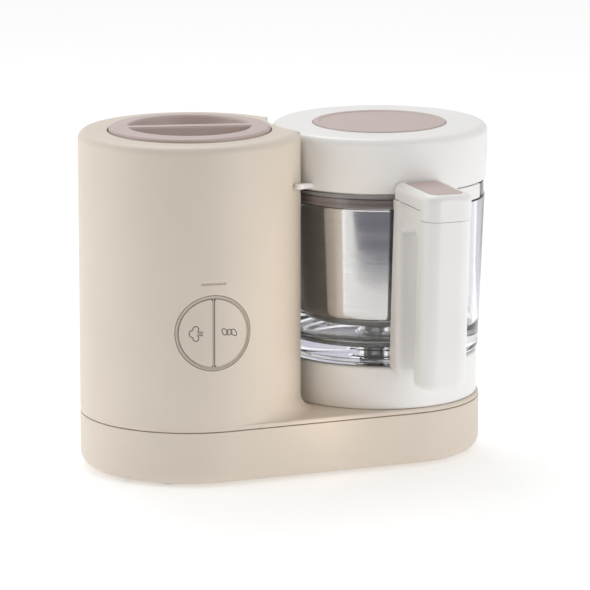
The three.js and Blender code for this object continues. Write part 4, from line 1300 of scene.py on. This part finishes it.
PALE = (0.80, 0.80, 0.80)
CARD_Z = 0.002  # just over the floor
AWAY, RIGHT = Vector((0.342, 0.940, 0)), Vector((0.940, -0.342, 0))  # from the camera, about


def stage_material(name, colour, glow=0.0):
    m = material(name)
    return m.feed(m.shader, {
        "Base Color": m.tones(m.noise(m.place(), 3), tinted(colour, 0.99), colour),
        "Roughness": 0.6,
        "Emission Color": (1, 1, 1, 1),
        "Emission Strength": glow,
    })


def sheet(name, points, colour, glow=0.0):
    """A flat sheet of the stage through its corner points."""
    mesh = bpy.data.meshes.new(name)
    mesh.from_pydata(points, [], [tuple(range(len(points)))])
    mesh.materials.append(stage_material(name, colour, glow))
    made = linked(name, mesh)
    return made


def card(name, points, colour, glow=0.0):
    """A sheet that the camera doesn't see and that casts no shadow. It shows in reflections or through glass."""
    made = sheet(name, points, colour, glow)
    made.visible_camera = False
    made.visible_shadow = False
    return made


def fan(turns, near, far):
    """A piece of a ring round the jug: directions in degrees from straight ahead, and its near radii."""
    middle = JUG * MM

    def spot(turn, r):
        return middle.x + r * sin(radians(turn)), middle.y - r * cos(radians(turn))

    return level([spot(a, r) for a, r in zip(turns, near)] + [spot(a, far) for a in reversed(turns)], CARD_Z)


sheet("floor", level([(-20, -20), (20, -20), (20, 20), (-20, 20)], 0), PALE, 0.36)
card("dark_card", fan((-55, -51, -46, -39, -28, -12, 6), (0.80, 0.66, 0.60, 0.57, 0.555, 0.55, 0.55), 3),
     (0.20, 0.20, 0.25))
card("pale_card", fan((-96, -90, -80, -70, -63), [0.34] * 5, 1.6), PALE, 0.62)


def lilac_card():
    """An upright card behind the jug that only shows through its glass."""
    half_width, height = RIGHT * 0.24, Vector((0, 0, 0.27))
    foot_middle = JUG * MM + AWAY * 0.45 + RIGHT * 0.16
    low = [foot_middle - half_width, foot_middle + half_width]
    high = [p + height for p in reversed(low)]
    made = card("lilac_card", [*low, *high], (0.20, 0.19, 0.28), 0.40)
    made.visible_glossy = False
    made.visible_diffuse = False


lilac_card()


def look_along(made, place, direction):
    """Puts a light or the camera at a place, turned to look along a direction."""
    made.location = place
    made.rotation_euler = direction.to_track_quat("-Z", "Y").to_euler()


def area_light(name, place, aim, size, power, colour=(1, 1, 1)):
    data = bpy.data.lights.new(name, "AREA")
    data.shape = "RECTANGLE"
    data.size, data.size_y = size
    data.energy = power
    data.color = colour
    made = linked(name, data)
    look_along(made, place, Vector(aim) - Vector(place))
    return made


area_light("key_right", (0.95, -1.6, 0.5), (0, 0, 0.12), (1.0, 1.2), 9.6)
area_light("fill_left", (-1.6, 0.3, 0.6), (0, 0, 0.12), (1.0, 1.2), 7)
area_light("high_back", (0.0, 1.0, 1.6), (0, 0, 0.25), (0.8, 0.8), 6.5)
warm_gap = area_light("warm_gap", (0.006, -0.085, 0.135), (-0.014, 0.03, 0.135), (0.024, 0.21), 0.019,
                      (1.0, 0.78, 0.56))
warm_gap.visible_glossy = False
warm_gap.visible_transmission = False
warm_gap.visible_camera = False


def studio_world():
    """A pale surround that is darker on the side the viewer stands and, a little, to the far right."""
    world = bpy.data.worlds.new("studio")
    bpy.context.scene.world = world
    m = Nodes(world, "Background")
    where = m.add("TexCoord", {}).outputs["Generated"]

    def fade(turn, start, end, near, far):
        """A strength that runs from near to far as the view turns towards a direction."""
        a = radians(turn)
        toward = m.add("VectorMath", {0: where, 1: (sin(a), -cos(a), 0.0)}, operation="DOT_PRODUCT")
        sockets = {"From Min": start, "From Max": end, "To Min": near, "To Max": far, "Value": toward.outputs["Value"]}
        return m.add("MapRange", sockets, interpolation_type="SMOOTHSTEP").outputs["Result"]

    fades = {0: fade(-38, 0.15, 0.97, 0.90, 0.08), 1: fade(95, 0.15, 0.95, 1.0, 0.55)}
    both = m.add("Math", fades, operation="MULTIPLY")
    m.feed(m.shader, {"Strength": both.outputs["Value"], "Color": (1.0, 1.0, 1.0, 1)})


studio_world()

CAMERA_TURN = radians(-20)
CAMERA_RISE = radians(11.9)
CAMERA_DISTANCE = 3.2855
CAMERA_LENS = 267.45
AIM = Vector((TOWER.x + AXIS_GAP / 2 + 7.78, TOWER.y, 121.6)) * MM


def camera():
    data = bpy.data.cameras.new("camera")
    data.sensor_width = 36
    data.lens = CAMERA_LENS
    data.clip_start, data.clip_end = 0.1, 100
    made = linked("camera", data)
    flat = cos(CAMERA_RISE)
    back = Vector((sin(CAMERA_TURN) * flat, -cos(CAMERA_TURN) * flat, sin(CAMERA_RISE)))
    look_along(made, AIM + back * CAMERA_DISTANCE, -back)
    bpy.context.scene.camera = made


camera()
bpy.context.scene.view_settings.view_transform = "Standard"
